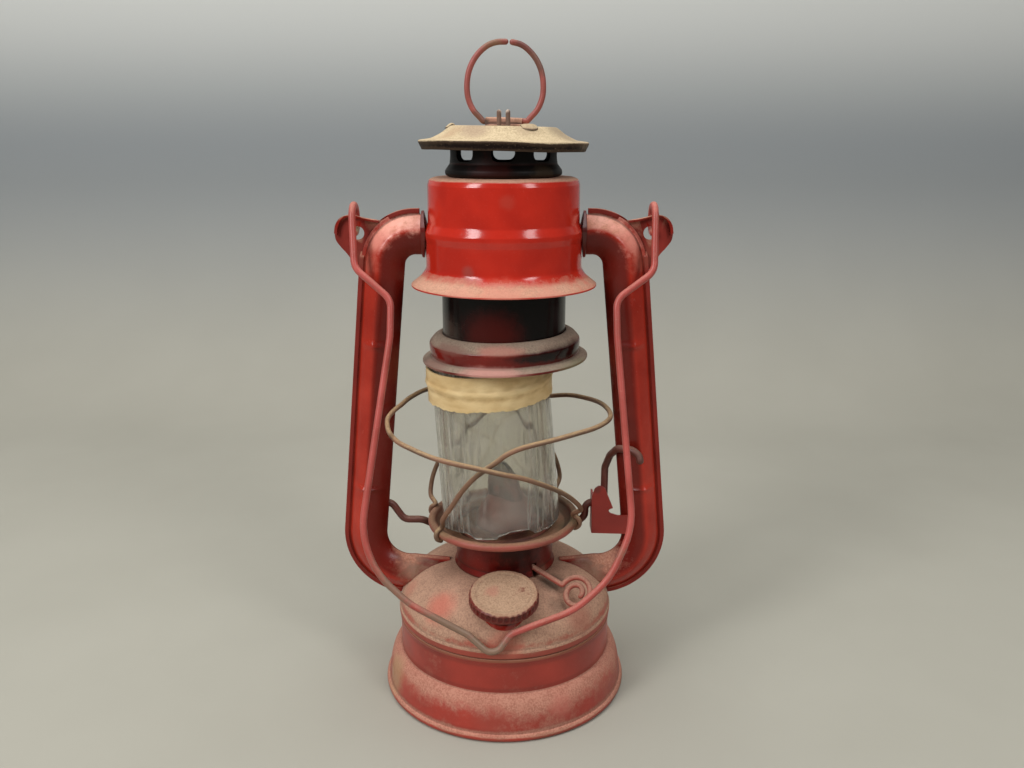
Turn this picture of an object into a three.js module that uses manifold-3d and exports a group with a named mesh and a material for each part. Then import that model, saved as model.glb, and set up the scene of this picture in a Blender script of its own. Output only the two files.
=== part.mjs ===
// Barn lantern with a tubular frame, a wick burner, a lifting globe and a hanging bail.
// Millimetres, +Z up. The origin is the middle of the base, on the surface it stands on.
// The viewer looks along +Y, so the filler cap faces -Y and the side tubes lie along X.

import * as THREE from 'three';
import { mergeVertices } from 'three/addons/utils/BufferGeometryUtils.js';
import Module from 'manifold-3d';

const wasm = await Module();
wasm.setup();

// Sheet, wire and clearances
const sheet = 0.9;
const gap = 0.3;
const overrun = 30;

// Fount: rolled base rim, flared foot, band, seam and domed top
const base_radius = 67.8;
const base_bead = 2.1;
const foot_height = 23.2;
const band_radius = 58.6;
const seam_height = 42.6;
const seam_depth = 0.8;
const edge_height = 47;
const dome_rise = 23.3;
const dome_flat_radius = 27;
const floor_height = 6;
const foot_arc_shares = [[0, 1], [0.42, 0.9], [0.78, 0.62], [0.97, 0.25]];

// Filler: tilted neck, gasket and knurled screw cap
const filler_reach = 44.3;
const filler_tilt_degrees = 13.2;
const neck_radius = 13;
const neck_height = 4.6;
const thread_depth = 0.5;
const cap_radius = 17.6;
const cap_skirt = 5.6;
const cap_top = 1.2;
const cap_teeth = 24;
const tooth_depth = 0.45;
const gasket_thick = 1.4;

// Burner: collar, seat, air deck, wick tube, wick and its wheels
const collar_radius = 27;
const slit_width = 3.2;
const slit_height = 7.5;
const seat_radius = 19.6;
const seat_depth = 7;
const deck_drop = 5;
const deck_hole = 2.2;
const deck_holes = 12;
const deck_hole_share = 0.72;
const wick_width = 15;
const wick_thick = 1.8;
const wick_length = 80;
const wick_proud = 3;
const wick_tube_wall = 0.7;
const wick_tube_length = 40;
const wick_heading_degrees = -42;
const wheel_radius = 3.6;
const wheel_width = 3;
const wheel_teeth = 12;
const wheel_offset = 5;
const spindle_radius = 1.1;
const spindle_height = 79.6;
const spindle_fall_degrees = 9.5;
const spindle_length = 55;
const loop_radius = 8;
const loop_roll_degrees = 45;

// Burner cone: round dome with a raised oval and its flame slot
const cone_radius = 16.4;
const cone_height = 19;
const oval_length = 21;
const oval_width = 12;
const oval_rise = 14;
const slot_width = 4.4;

// Globe plate: a dish with a rolled bead, leaning on the collar
const plate_height = 101.3;
const plate_radius = 41.9;
const plate_bead = 2;
const plate_depth = 7;
const floor_radius = 35.4;
const globe_lean_degrees = 3.85;
const globe_nod_degrees = 2;
const globe_side = 0.5;

// Globe: straight fluted glass with a chipped lower edge, and the paper band round its top
const glass_radius = 32.2;
const glass_top_radius = 30.8;
const glass_wall = 2;
const glass_length = 94.6;
const glass_side = 2.6;
const flutes = 20;
const flute_depth = 0.35;
const chip_height = 8;
const chip_shares = [[0, 0.05], [0.08, 0.2], [0.13, 0.5], [0.2, 0.12], [0.235, 0.6], [0.29, 1], [0.345, 0.6],
  [0.385, 0.5], [0.43, 0.3], [0.52, 0.25], [0.62, 0], [1, 0]];
const tape_low = 67.3;
const tape_height = 18;
const tape_thick = 0.7;
const tape_side = 0.7;
const fold_depth = 0.6;

// Guard: two crossed wires hooked round the plate's bead
const guard_wire_radius = 1.3;
const guard_height = 60;
const guard_radius = 60;
const guard_hook_degrees = [-70, -35, 0, 35];
const guard_lead_share = 0.0083;
const left_guard_shares = [[-0.0722, 0.1, 0.76], [-0.1056, 0.27, 0.765], [-0.1417, 0.435, 0.79],
  [-0.2167, 0.65, 0.845], [-0.2778, 0.745, 0.89], [-0.3389, 0.83, 0.93], [-0.4111, 0.91, 0.985],
  [-0.4639, 0.97, 0.995], [0.5028, 1.06, 0.85], [0.4472, 1.075, 0.85], [0.3917, 1.04, 0.86],
  [0.3111, 0.93, 0.875], [0.2444, 0.78, 0.865], [0.1833, 0.48, 0.815], [0.1361, 0.19, 0.765]];
const right_guard_shares = [[-0.4278, 0.1, 0.76], [-0.3833, 0.22, 0.765], [-0.3361, 0.377, 0.775],
  [-0.2806, 0.66, 0.815], [-0.2472, 0.8, 0.855], [-0.2139, 0.895, 0.895], [-0.1694, 0.94, 0.94],
  [-0.1167, 0.955, 0.985], [-0.05, 0.915, 1.01], [0.0111, 0.9, 0.965], [0.0944, 0.87, 0.9],
  [0.15, 0.845, 0.825], [0.25, 0.76, 0.8], [0.3333, 0.52, 0.795], [0.4028, 0.25, 0.765],
  [0.4333, 0.1, 0.76]];

// Hood: crown with its flange, chimney tube, vent ring and smoke cap
const crown_height = 188;
const crown_radius = 43.3;
const bulge_radius = 39.4;
const crown_lean_degrees = 1.6;
const crown_rise = 18;
const chimney_radius = 32;
const chimney_top = 248;
const throat_radius = 24.6;
const throat_drop = 8;
const crown_seat_height = 191;
const vent_radius = 26.9;
const vent_bulge = 29.3;
const vent_height = 278.4;
const vent_window = 11.4;
const vent_windows = 8;
const window_sill = 9.4;
const cap_height = 304.4;
const plateau_radius = 26.2;
const brim_radius = 42.4;
const brim_drop = 7.2;
const lip_drop = 11.4;
const lip_tuck = 1.7;
const tab_width = 8;
const tab_rise = 1.8;
const tab_angles_degrees = [180, -62, 58];

// Lift ring, its bridge and the two prongs of the stop wire
const ring_wire = 1.45;
const ring_half_width = 18.6;
const ring_height = 37.1;
const ring_gap = 0.7;
const ring_side = 0.8;
const ring_low = -Math.PI / 4;
const bridge_span = 15.6;
const bridge_width = 7;
const bridge_rise = 4.4;
const bridge_back = 4;
const stop_wire_radius = 1;
const stop_spread = 2.2;
const stop_rise = 6.8;
const stop_front = 2.5;

// Canopy: drawn bell with a bead and a flange
const canopy_top = 278.3;
const canopy_radius = 38.2;
const canopy_low_radius = 39.9;
const canopy_shoulder = 3.6;
const canopy_bead = 40.4;
const canopy_bead_height = 255;
const flange_radius = 47.6;
const flange_height = 226.4;
const flange_flare = 8.6;
const canopy_mouth = 26.4;
const air_hole_rise = 7;
const air_hole_width = 5;

// Side tubes: two stamped halves each, crimped along the outer edge
const tube_half_width = 10.4;
const tube_depth = 8.5;
const tube_axis_height = 251.6;
const elbow_start = 45.3;
const elbow_radius = 15.9;
const tube_splay_degrees = 5.6;
const foot_bend_radius = 23.7;
const foot_bend_height = 86.7;
const foot_fall_degrees = 6;
const tube_reach = 30.8;
const crimp_flange = 1.7;
const crimp_hem = 0.6;
const bead_heights = [194.6, 114.8];
const rib_rise = 0.9;
const rib_half_width = 2;
const lens_shares = [[-1, 0], [-0.9, 0.28], [-0.5, 0.75], [0, 1], [0.5, 0.75], [0.9, 0.28], [1, 0]];
const lens_core_shares = [[-1, 0], [-0.62, 0.6], [0, 1], [0.62, 0.6], [1, 0]];
const collar_flange = 1.7;
const collar_thick = 2;

// Ears on the outer elbows, where the bail hangs
const ear_hole_side = 74.6;
const ear_hole_height = 252.1;
const ear_hole_radius = 3.4;
const ear_lip = 2.1;
const ear_lip_thick = 2.7;
const ear_reach = 11.7;
const ear_top_rise = 9.2;
const ear_shares = [[-1.12, 0.67], [-0.95, 0.68], [-0.35, 0.83], [0.35, 1], [0.72, 0.84], [0.93, 0.46],
  [1, 0], [0.94, -0.45], [0.8, -0.7], [0.42, -1.28], [0.1, -2.06]];
const ear_inner_shares = [[-0.2, -1.9], [-0.42, -0.9], [-0.8, -0.1], [-1.12, 0.38]];

// Bail: bent wire with an eye at each end and a hanging notch
const bail_wire = 1.75;
const eye_radius = 7.05;
const eye_side = 75.9;
const bail_drop = 218;
const bail_rest_degrees = 14.6;
const eye_sweep_degrees = 272;
const bail_left_shares = [[0.985, 0.117], [0.745, 0.19], [0.75, 0.275], [0.942, 0.725], [0.85, 0.82],
  [0.62, 0.893]];
const notch_shares = [[-0.237, 0.963], [-0.066, 1.016], [0.046, 0.961]];
const bail_right_shares = [[0.474, 0.906], [0.705, 0.833], [0.854, 0.716], [0.75, 0.275], [0.745, 0.19],
  [0.995, 0.126]];
const bail_bend = 9;
const bail_side_bend = 42;
const notch_bend = 6;

// Lift lever: a crank pivoted in the left tube and in the catch plate
const lever_wire = 2;
const pivot_height = 103.3;
const pivot_back = 3;
const pivot_inset = 6.5;
const crank_drop = 10.3;
const yoke_radius = 31.6;
const yoke_clear = 3.3;
const yoke_sweep_degrees = 75;
const yoke_back_rise = 3.6;
const lever_bend = 3.6;
const lever_post_side = 55.3;
const handle_rise = 35.6;
const handle_front = 15;
const handle_side = 71.8;
const handle_shares = [[0, 0, 0.58], [0.14, 0.167, 0.81], [0.33, 0.52, 0.98], [0.77, 0.83, 1.01],
  [0.975, 0.945, 0.935], [1, 1, 0.868]];

// Catch plate on the right tube
const catch_front = 5;
const catch_thick = 1;
const catch_left = 47.9;
const catch_low = 88.4;
const catch_rise = 28.2;
const catch_width = 19.8;
const catch_flange = 10.5;
const catch_shares = [[0, 0], [1, -0.02], [1, 0.37], [0.72, 0.37], [0.5, 0.42], [0.45, 0.49], [0.59, 0.525],
  [0.35, 0.94], [0.2, 1], [0.07, 0.93], [0, 0.78]];

// Facets
const big_facets = 30;
const facets = 24;
const small_facets = 16;
const wire_sides = 6;
const bail_sides = 6;
const bend_step = Math.PI / 6;

const degrees = THREE.MathUtils.degToRad;
const lantern = new THREE.Group();
const materials = {};

function finish(name, color, metalness, roughness, opacity = 1) {
  const transparent = opacity < 1;
  materials[name] = new THREE.MeshStandardMaterial({ color, metalness, roughness, opacity, transparent });
}

finish('red_enamel', 0xa5332a, 0.1, 0.35);
finish('bright_red_enamel', 0xc23325, 0.1, 0.28);
finish('sooty_steel', 0x1d1918, 0.4, 0.55);
finish('tin_plate', 0x8c877d, 0.8, 0.45);
finish('rusty_wire', 0x5d3d33, 0.4, 0.7);
finish('brass', 0xa88a4c, 0.9, 0.4);
finish('clouded_glass', 0xbfc2b8, 0, 0.2, 0.45);
finish('paper_band', 0xdcc18a, 0, 0.85);
finish('cotton_wick', 0xe6ddc8, 0, 0.95);
finish('cork_rubber', 0x4d4238, 0, 0.9);

// Merged, closed and outward copy of a geometry
function tidy(geometry) {
  const bare = geometry.clone();
  for (const name of ['normal', 'uv', 'color']) bare.deleteAttribute(name);
  const merged = mergeVertices(bare);
  const at = merged.attributes.position;
  const index = merged.index.array;
  const corners = [];
  const a = new THREE.Vector3();
  const b = new THREE.Vector3();
  const c = new THREE.Vector3();
  let volume = 0;
  for (let i = 0; i < index.length; i += 3) {
    const [p, q, r] = [index[i], index[i + 1], index[i + 2]];
    if (p === q || q === r || r === p) continue;
    corners.push(p, q, r);
    a.fromBufferAttribute(at, p);
    b.fromBufferAttribute(at, q);
    c.fromBufferAttribute(at, r);
    volume += a.dot(b.cross(c));
  }
  if (volume < 0) corners.reverse();
  merged.setIndex(corners);
  return merged;
}

function toSolid(geometry) {
  const closed = tidy(geometry);
  return new wasm.Manifold(new wasm.Mesh({
    numProp: 3,
    vertProperties: new Float32Array(closed.attributes.position.array),
    triVerts: new Uint32Array(closed.index.array),
  }));
}

function toGeometry(solid) {
  const result = solid.getMesh();
  const geometry = new THREE.BufferGeometry();
  geometry.setAttribute('position', new THREE.BufferAttribute(new Float32Array(result.vertProperties), 3));
  geometry.setIndex(Array.from(result.triVerts));
  return geometry;
}

function cut(geometry, ...tools) {
  let solid = toSolid(geometry);
  for (const tool of tools) solid = solid.subtract(toSolid(tool));
  return toGeometry(solid);
}

function join(first, ...others) {
  let solid = toSolid(first);
  for (const other of others) solid = solid.add(toSolid(other));
  return toGeometry(solid);
}

function place(name, geometry, material, parent = lantern) {
  const mesh = new THREE.Mesh(tidy(geometry), materials[material]);
  mesh.name = name;
  parent.add(mesh);
  return mesh;
}

// A profile of [radius, height] pairs turned round the Z axis
function turned(profile, segments) {
  const points = profile.map(([r, z]) => new THREE.Vector2(r, z));
  const onAxis = profile[0][0] === 0 && profile[profile.length - 1][0] === 0;
  if (!onAxis) points.push(points[0].clone());
  return new THREE.LatheGeometry(points, segments).rotateX(Math.PI / 2);
}

// A round bar from z = low to z = high
function bar(radius, low, high, segments = small_facets) {
  return turned([[0, low], [radius, low], [radius, high], [0, high]], segments);
}

// A flat shape made thick along Z
function pressed(shape, depth, curveSegments = wire_sides) {
  return new THREE.ExtrudeGeometry(shape, { depth, bevelEnabled: false, curveSegments });
}

// A flat outline of [x, z] pairs, made thick along Y from front to back
function plateXZ(outline, front, back, holes = []) {
  const shape = new THREE.Shape(outline.map(([x, z]) => new THREE.Vector2(x, z)));
  for (const [x, z, r] of holes) shape.holes.push(new THREE.Path().absarc(x, z, r, 0, 2 * Math.PI, true));
  return pressed(shape, back - front).rotateX(Math.PI / 2).translate(0, back, 0);
}

// Rings of points with the same count, skinned into a closed body
function skinned(rings, outline) {
  const count = rings[0].length;
  const positions = rings.flat().flatMap((p) => [p.x, p.y, p.z]);
  const index = [];
  for (let i = 0; i < rings.length - 1; i++) {
    for (let j = 0; j < count; j++) {
      const k = (j + 1) % count;
      const a = i * count + j;
      const b = i * count + k;
      index.push(a, b, b + count, a, b + count, a + count);
    }
  }
  const last = (rings.length - 1) * count;
  const clockwise = THREE.ShapeUtils.isClockWise(outline);
  for (const [p, q, r] of THREE.ShapeUtils.triangulateShape(outline, [])) {
    if (clockwise) index.push(p, q, r, last + r, last + q, last + p);
    else index.push(r, q, p, last + p, last + q, last + r);
  }
  const geometry = new THREE.BufferGeometry();
  geometry.setAttribute('position', new THREE.BufferAttribute(new Float32Array(positions), 3));
  geometry.setIndex(index);
  return geometry;
}

// A curve through listed points that an extrusion steps along point by point
class BentWire extends THREE.Curve {
  constructor(points) {
    super();
    this.points = points;
  }

  getPoint(t, target = new THREE.Vector3()) {
    const run = Math.min(Math.max(t, 0), 1) * (this.points.length - 1);
    const i = Math.min(Math.floor(run), this.points.length - 2);
    return target.lerpVectors(this.points[i], this.points[i + 1], run - i);
  }

  getUtoTmapping(u) {
    return u;
  }
}

function wire(points, radius, sides = wire_sides) {
  const round = new THREE.Shape();
  for (let i = 0; i < sides; i++) {
    const angle = (2 * Math.PI * i) / sides;
    if (i === 0) round.moveTo(radius * Math.cos(angle), radius * Math.sin(angle));
    else round.lineTo(radius * Math.cos(angle), radius * Math.sin(angle));
  }
  round.closePath();
  return new THREE.ExtrudeGeometry(round, {
    steps: points.length - 1,
    extrudePath: new BentWire(points),
    bevelEnabled: false,
  });
}

// Straight runs between corners, each corner rounded with its own bend radius
function bent(corners, bend) {
  const points = [corners[0].clone()];
  for (let i = 1; i < corners.length - 1; i++) {
    const before = corners[i - 1].clone().sub(corners[i]);
    const after = corners[i + 1].clone().sub(corners[i]);
    const room = Math.min(before.length(), after.length()) / 2;
    before.normalize();
    after.normalize();
    const half = Math.acos(THREE.MathUtils.clamp(before.dot(after), -1, 1)) / 2;
    const radius = Math.min(Array.isArray(bend) ? bend[i] : bend, room * Math.tan(half));
    const run = radius / Math.tan(half);
    const turn = Math.PI - 2 * half;
    const middle = before.clone().add(after).normalize();
    middle.multiplyScalar(radius / Math.sin(half)).add(corners[i]);
    const start = before.multiplyScalar(run).add(corners[i]).sub(middle);
    const end = after.multiplyScalar(run).add(corners[i]).sub(middle);
    const steps = Math.max(1, Math.ceil(turn / bend_step));
    for (let k = 0; k <= steps; k++) {
      const p = start.clone().multiplyScalar(Math.sin(turn * (1 - k / steps)) / Math.sin(turn));
      p.addScaledVector(end, Math.sin(turn * (k / steps)) / Math.sin(turn));
      points.push(p.add(middle));
    }
  }
  points.push(corners[corners.length - 1].clone());
  return points;
}

function mirrored(geometry) {
  return tidy(geometry.clone().scale(-1, 1, 1));
}

// Heights that several pieces share
const dome_top = edge_height + dome_rise;
const dome_span = band_radius - dome_flat_radius;
const lean = degrees(globe_lean_degrees);
const nod = degrees(globe_nod_degrees);
const plate_tip = collar_radius * Math.hypot(Math.sin(lean), Math.sin(nod));
const plate_low = plate_height - (plate_depth + sheet + plate_bead / 2) - plate_tip;
const collar_top = plate_low - gap;
const yoke_height = plate_height - plate_depth - plate_bead / 2 - lever_wire - yoke_clear;

function domeHeight(radius) {
  const share = Math.min(Math.max((radius - dome_flat_radius) / dome_span, 0), 1);
  return edge_height + dome_rise * Math.sqrt(1 - share * share);
}

// The dome's outline from its edge to its flat top, offset outward by a margin
function domeOutline(margin, end_radius, steps = 6) {
  const outline = [];
  for (let i = 0; i <= steps; i++) {
    const angle = (Math.PI / 2) * (i / steps);
    outline.push([
      dome_flat_radius + (dome_span + margin) * Math.cos(angle),
      edge_height + (dome_rise + margin) * Math.sin(angle),
    ]);
  }
  outline.push([end_radius, dome_top + margin]);
  return outline;
}

// The fount and all that stands on it as one filled body, for trimming what meets it
function fountTrim(margin) {
  const outline = [[0, floor_height], [band_radius + margin, floor_height], ...domeOutline(margin, 0)];
  return turned(outline, big_facets);
}

// Fount side: rolled rim, flared foot, band and the seam below the dome
function fountSide() {
  const foot_out = base_radius - base_bead - band_radius;
  const foot_low = 2 * base_bead;
  const outside = foot_arc_shares.map(([r, z]) => [
    band_radius + foot_out * r,
    foot_low + (foot_height - foot_low) * z,
  ]);
  const inside = foot_arc_shares.map(([r, z]) => [
    band_radius - sheet + (foot_out - sheet) * r,
    foot_low + (foot_height - sheet - foot_low) * z,
  ]);
  const bead_middle = base_radius - base_bead;
  const rim = [[0.7, 1.75], [1, 1], [0.5, 0], [-0.5, 0], [-1, 1]].map(([r, z]) => [
    bead_middle + base_bead * r,
    base_bead * z,
  ]);
  const top = seam_height;
  return turned([
    [band_radius - sheet, top],
    [band_radius - seam_depth / 2, top],
    [band_radius, top - seam_depth],
    ...outside,
    ...rim,
    ...inside.reverse(),
  ], big_facets);
}

function fillerFrame() {
  const frame = new THREE.Group();
  frame.position.set(0, -filler_reach, domeHeight(filler_reach));
  frame.rotation.x = degrees(filler_tilt_degrees);
  return frame;
}

function fillerMatrix() {
  const frame = fillerFrame();
  frame.updateMatrix();
  return frame.matrix;
}

// Fount top: dome and the short skirt that folds over the band
function fountTop() {
  const outside = domeOutline(0, seat_radius + gap);
  const inside = domeOutline(-sheet, seat_radius + gap, 4).reverse();
  const skirt = seam_height + gap;
  const hem = [[band_radius - sheet, skirt], [band_radius, skirt]];
  const shell = turned([...hem, ...outside, ...inside], big_facets);
  const hole = bar(neck_radius - 2 * sheet, -overrun, overrun).applyMatrix4(fillerMatrix());
  return cut(shell, hole);
}

function fountFloor() {
  const radius = base_radius - 2 * base_bead - gap;
  return turned([
    [0, floor_height],
    [radius, floor_height],
    [radius, floor_height + 2 * sheet],
    [radius - sheet, floor_height + 2 * sheet],
    [radius - sheet, floor_height + sheet],
    [0, floor_height + sheet],
  ], big_facets);
}

// Filler neck: a rolled tube with thread ridges, trimmed to the dome
function fillerNeck() {
  const low = -neck_radius;
  const pitch = cap_skirt / 3;
  const outside = [[neck_radius, low], [neck_radius, neck_height - 4 * pitch]];
  for (let i = 0; i < 3; i++) {
    const z = neck_height - (3 - i) * pitch;
    outside.push([neck_radius + thread_depth, z], [neck_radius, z + pitch / 2]);
  }
  const inner = neck_radius - sheet;
  const mouth = [[neck_radius, neck_height], [inner, neck_height]];
  const tube = turned([...outside, ...mouth, [inner, low]], small_facets);
  return cut(tube.applyMatrix4(fillerMatrix()), fountTrim(gap));
}

// Screw cap: flat top, rounded edge and a toothed skirt
function fillerCap() {
  const lid_low = neck_height + gasket_thick + 2 * gap;
  const lid_high = lid_low + cap_top;
  const inner = neck_radius + thread_depth + gap;
  const rounds = [[inner, lid_high - cap_skirt], [1, lid_high - cap_skirt], [1, lid_high - cap_top / 2],
    [1 - cap_top / cap_radius, lid_high], [0, lid_high], [0, lid_low], [inner, lid_low]];
  const count = cap_teeth * 2;
  const rings = [];
  for (let i = 0; i < count; i++) {
    const angle = (2 * Math.PI * i) / count;
    const toothed = cap_radius - (i % 2 ? tooth_depth : 0);
    rings.push(rounds.map(([r, z], j) => {
      const radius = j === 1 || j === 2 ? toothed : (j === 3 ? cap_radius * r : r);
      return new THREE.Vector3(radius * Math.cos(angle), radius * Math.sin(angle), z);
    }));
  }
  return skinnedRing(rings);
}

// Sections round an axis, joined into a closed ring
function skinnedRing(sections) {
  const count = sections[0].length;
  const positions = sections.flat().flatMap((p) => [p.x, p.y, p.z]);
  const index = [];
  sections.forEach((section, i) => {
    const next = ((i + 1) % sections.length) * count;
    for (let j = 0; j < count; j++) {
      const k = (j + 1) % count;
      index.push(i * count + j, next + j, next + k, i * count + j, next + k, i * count + k);
    }
  });
  const geometry = new THREE.BufferGeometry();
  geometry.setAttribute('position', new THREE.BufferAttribute(new Float32Array(positions), 3));
  geometry.setIndex(index);
  return geometry;
}

function fillerGasket() {
  const low = neck_height + gap;
  const outer = neck_radius + thread_depth;
  const inner = neck_radius - 3 * sheet;
  const high = low + gasket_thick;
  return turned([[inner, low], [outer, low], [outer, high], [inner, high]], small_facets);
}

const wick_heading = degrees(wick_heading_degrees);

// Burner collar: a drawn neck with a slit that lets the wick spindle out
function burnerCollar() {
  const low = dome_top + gap;
  const waist = (collar_top - low) * 0.2;
  const outer = collar_radius;
  const shell = turned([
    [outer + gap, low],
    [outer - gap, low + waist],
    [outer, collar_top - waist],
    [outer, collar_top],
    [outer - 2 * sheet, collar_top],
    [outer - 2 * sheet, collar_top - sheet],
    [outer - sheet, collar_top - waist],
    [outer - sheet - gap, low + waist],
    [outer - sheet, low],
  ], facets);
  const slit = new THREE.BoxGeometry(collar_radius, slit_width, slit_height * 2);
  slit.translate(collar_radius, -wheel_offset, 0).rotateZ(wick_heading).translate(0, 0, low);
  return cut(shell, slit);
}

// Burner seat: a threaded cup in the fount's opening that holds the wick tube
function burnerSeat() {
  const flange = dome_top + gap;
  const hole = bar(1, -overrun, overrun).scale(wick_width / 2 + 3 * sheet, wick_thick / 2 + 3 * sheet, 1);
  const cup = turned([
    [0, flange - seat_depth],
    [seat_radius - sheet, flange - seat_depth],
    [seat_radius - gap, flange - seat_depth + sheet],
    [seat_radius - gap, flange],
    [seat_radius + 3 * sheet, flange],
    [seat_radius + 3 * sheet, flange + sheet],
    [seat_radius - 2 * sheet, flange + sheet],
    [seat_radius - 2 * sheet, flange - seat_depth + 2 * sheet],
    [0, flange - seat_depth + 2 * sheet],
  ], small_facets);
  return cut(cup, hole.rotateZ(wick_heading).translate(0, 0, dome_top));
}

function burnerDeck() {
  const z = collar_top - deck_drop;
  const radius = collar_radius - 2 * sheet - gap;
  const holes = [];
  for (let i = 0; i < deck_holes; i++) {
    const angle = (2 * Math.PI * i) / deck_holes;
    const reach = radius * deck_hole_share;
    holes.push([reach * Math.cos(angle), reach * Math.sin(angle), deck_hole]);
  }
  const middle = wick_width / 2 + 4 * wick_tube_wall;
  const outline = new THREE.Shape().absarc(0, 0, radius, 0, 2 * Math.PI);
  for (const [x, y, r] of holes) outline.holes.push(new THREE.Path().absarc(x, y, r, 0, 2 * Math.PI, true));
  outline.holes.push(new THREE.Path().absarc(0, 0, middle, 0, 2 * Math.PI, true));
  return pressed(outline, sheet, wire_sides / 2).translate(0, 0, z);
}

// A flat oblong tube or bar standing along Z, its long side along X
function oblong(length, thick, low, high) {
  return new THREE.BoxGeometry(length, thick, high - low).translate(0, 0, (low + high) / 2);
}

const tube_low = dome_top - seat_depth + 3 * sheet;

function wickTube() {
  const inner_length = wick_width + 2 * gap;
  const inner_thick = wick_thick + 2 * gap;
  const tube_high = tube_low + wick_tube_length;
  const walls = 2 * wick_tube_wall;
  const outer = oblong(inner_length + walls, inner_thick + walls, tube_low, tube_high);
  const bore = oblong(inner_length, inner_thick, tube_low - overrun, tube_high + overrun);
  const window_width = wick_width - 2 * sheet;
  const window_height = 2 * wheel_radius + 2 * sheet;
  const window = new THREE.BoxGeometry(window_width, wheel_offset, window_height);
  window.translate(0, -wheel_offset / 2 - inner_thick / 4, spindle_height);
  return cut(outer, bore, window).rotateZ(wick_heading);
}

function wick() {
  const high = tube_low + wick_tube_length + wick_proud;
  return oblong(wick_width, wick_thick, high - wick_length, high).rotateZ(wick_heading);
}

// The spindle's own frame: X along the spindle, outward and falling
function spindleFrame() {
  const frame = new THREE.Group();
  const side = wick_thick / 2 + wheel_radius + gap;
  frame.rotation.order = 'ZYX';
  frame.rotation.z = wick_heading;
  frame.rotation.y = degrees(spindle_fall_degrees);
  frame.position.set(side * Math.sin(wick_heading), -side * Math.cos(wick_heading), spindle_height);
  return frame;
}

function wickSpindle() {
  const roll = degrees(loop_roll_degrees);
  const across = new THREE.Vector3(0, Math.cos(roll), Math.sin(roll));
  const middle = spindle_length;
  const along = (x) => new THREE.Vector3(x, 0, 0);
  const points = [along(-wick_width / 2 - sheet), along(middle - 2 * loop_radius)];
  const turns = 1.32;
  const steps = 22;
  for (let i = 0; i <= steps; i++) {
    const share = i / steps;
    const angle = Math.PI + 2 * Math.PI * turns * share;
    const radius = loop_radius * (1 - 0.62 * share);
    const p = new THREE.Vector3(middle + radius * Math.cos(angle), 0, 0);
    points.push(p.addScaledVector(across, radius * Math.sin(angle) * -1));
  }
  return wire(points, spindle_radius, wire_sides);
}

// Two toothed wheels that climb the wick
function wickWheels() {
  const wheels = [];
  for (const side of [-1, 1]) {
    const outline = new THREE.Shape();
    for (let i = 0; i < wheel_teeth * 2; i++) {
      const angle = (Math.PI * i) / wheel_teeth;
      const radius = i % 2 ? wheel_radius - 3 * gap : wheel_radius;
      const at = [radius * Math.cos(angle), radius * Math.sin(angle)];
      if (i === 0) outline.moveTo(...at);
      else outline.lineTo(...at);
    }
    const bore = new THREE.Path().absarc(0, 0, spindle_radius + gap, 0, 2 * Math.PI, true);
    outline.holes.push(bore);
    const wheel = pressed(outline, wheel_width, wire_sides / 2).translate(0, 0, -wheel_width / 2);
    wheel.rotateY(Math.PI / 2).translate((side * wick_width) / 4, 0, 0);
    wheels.push(wheel);
  }
  return wheels;
}

// Globe carriage frame: middle of the plate's rim, leaning as the wires let it
const globe = new THREE.Group();
globe.position.set(globe_side, 0, plate_height);
globe.rotation.set(nod, -lean, 0);
lantern.add(globe);

function globePlate() {
  const bead_middle = plate_radius - plate_bead;
  const bead = [[-0.9, -0.6], [0.1, -1], [0.87, -0.5], [0.87, 0.5], [0, 1], [-0.87, 0.5]].map(([r, z]) => [
    bead_middle + plate_bead * r,
    plate_bead * z,
  ]);
  const low = -plate_depth - plate_bead / 2;
  const hole = cone_radius - 3 * sheet;
  return turned([
    [hole, low],
    [floor_radius, low],
    [floor_radius + sheet, low + sheet],
    ...bead,
    [floor_radius - sheet, low + sheet],
    [hole, low + sheet],
  ], big_facets);
}

function burnerCone() {
  const low = -plate_depth - plate_bead / 2 + sheet + gap;
  const flange = cone_radius + 2 * sheet;
  const rows = 5;
  const shell = (margin) => {
    const outline = [[0, low + margin]];
    for (let i = 0; i <= rows; i++) {
      const angle = (Math.PI / 2) * (i / rows);
      const rise = (cone_height + margin) * Math.sin(angle);
      outline.push([(cone_radius + margin) * Math.cos(angle), low + rise]);
    }
    outline[outline.length - 1][0] = 0;
    return turned(outline, small_facets);
  };
  const oval = (margin) => {
    const ball = new THREE.SphereGeometry(1, small_facets / 2, wire_sides).rotateX(Math.PI / 2);
    ball.scale(oval_length / 2 + margin, oval_width / 2 + margin, oval_rise + margin);
    return ball.rotateZ(wick_heading).translate(0, 0, low + cone_height - sheet);
  };
  const skirt = turned([[0, low], [flange, low], [flange, low + sheet], [0, low + sheet]], small_facets);
  const outer = toSolid(shell(0)).add(toSolid(oval(0))).add(toSolid(skirt));
  const inner = toSolid(shell(-sheet)).add(toSolid(oval(-sheet)));
  const slot = new THREE.BoxGeometry(oval_length - 4 * sheet, slot_width, 2 * oval_rise);
  slot.rotateZ(wick_heading).translate(0, 0, low + cone_height + 1.6 * oval_rise);
  const below = bar(cone_radius - sheet, low - overrun, low + 2 * sheet);
  return toGeometry(outer.subtract(inner).subtract(toSolid(slot)).subtract(toSolid(below)));
}

// Height of the chipped edge over the plate's floor, by share of a turn from +X clockwise
function chipAt(share) {
  const s = share - Math.floor(share);
  for (let i = 1; i < chip_shares.length; i++) {
    const [s0, h0] = chip_shares[i - 1];
    const [s1, h1] = chip_shares[i];
    if (s <= s1) return chip_height * (h0 + ((h1 - h0) * (s - s0)) / (s1 - s0));
  }
  return 0;
}

function glassRadiusAt(z) {
  return glass_radius + ((glass_top_radius - glass_radius) * z) / glass_length;
}

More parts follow.
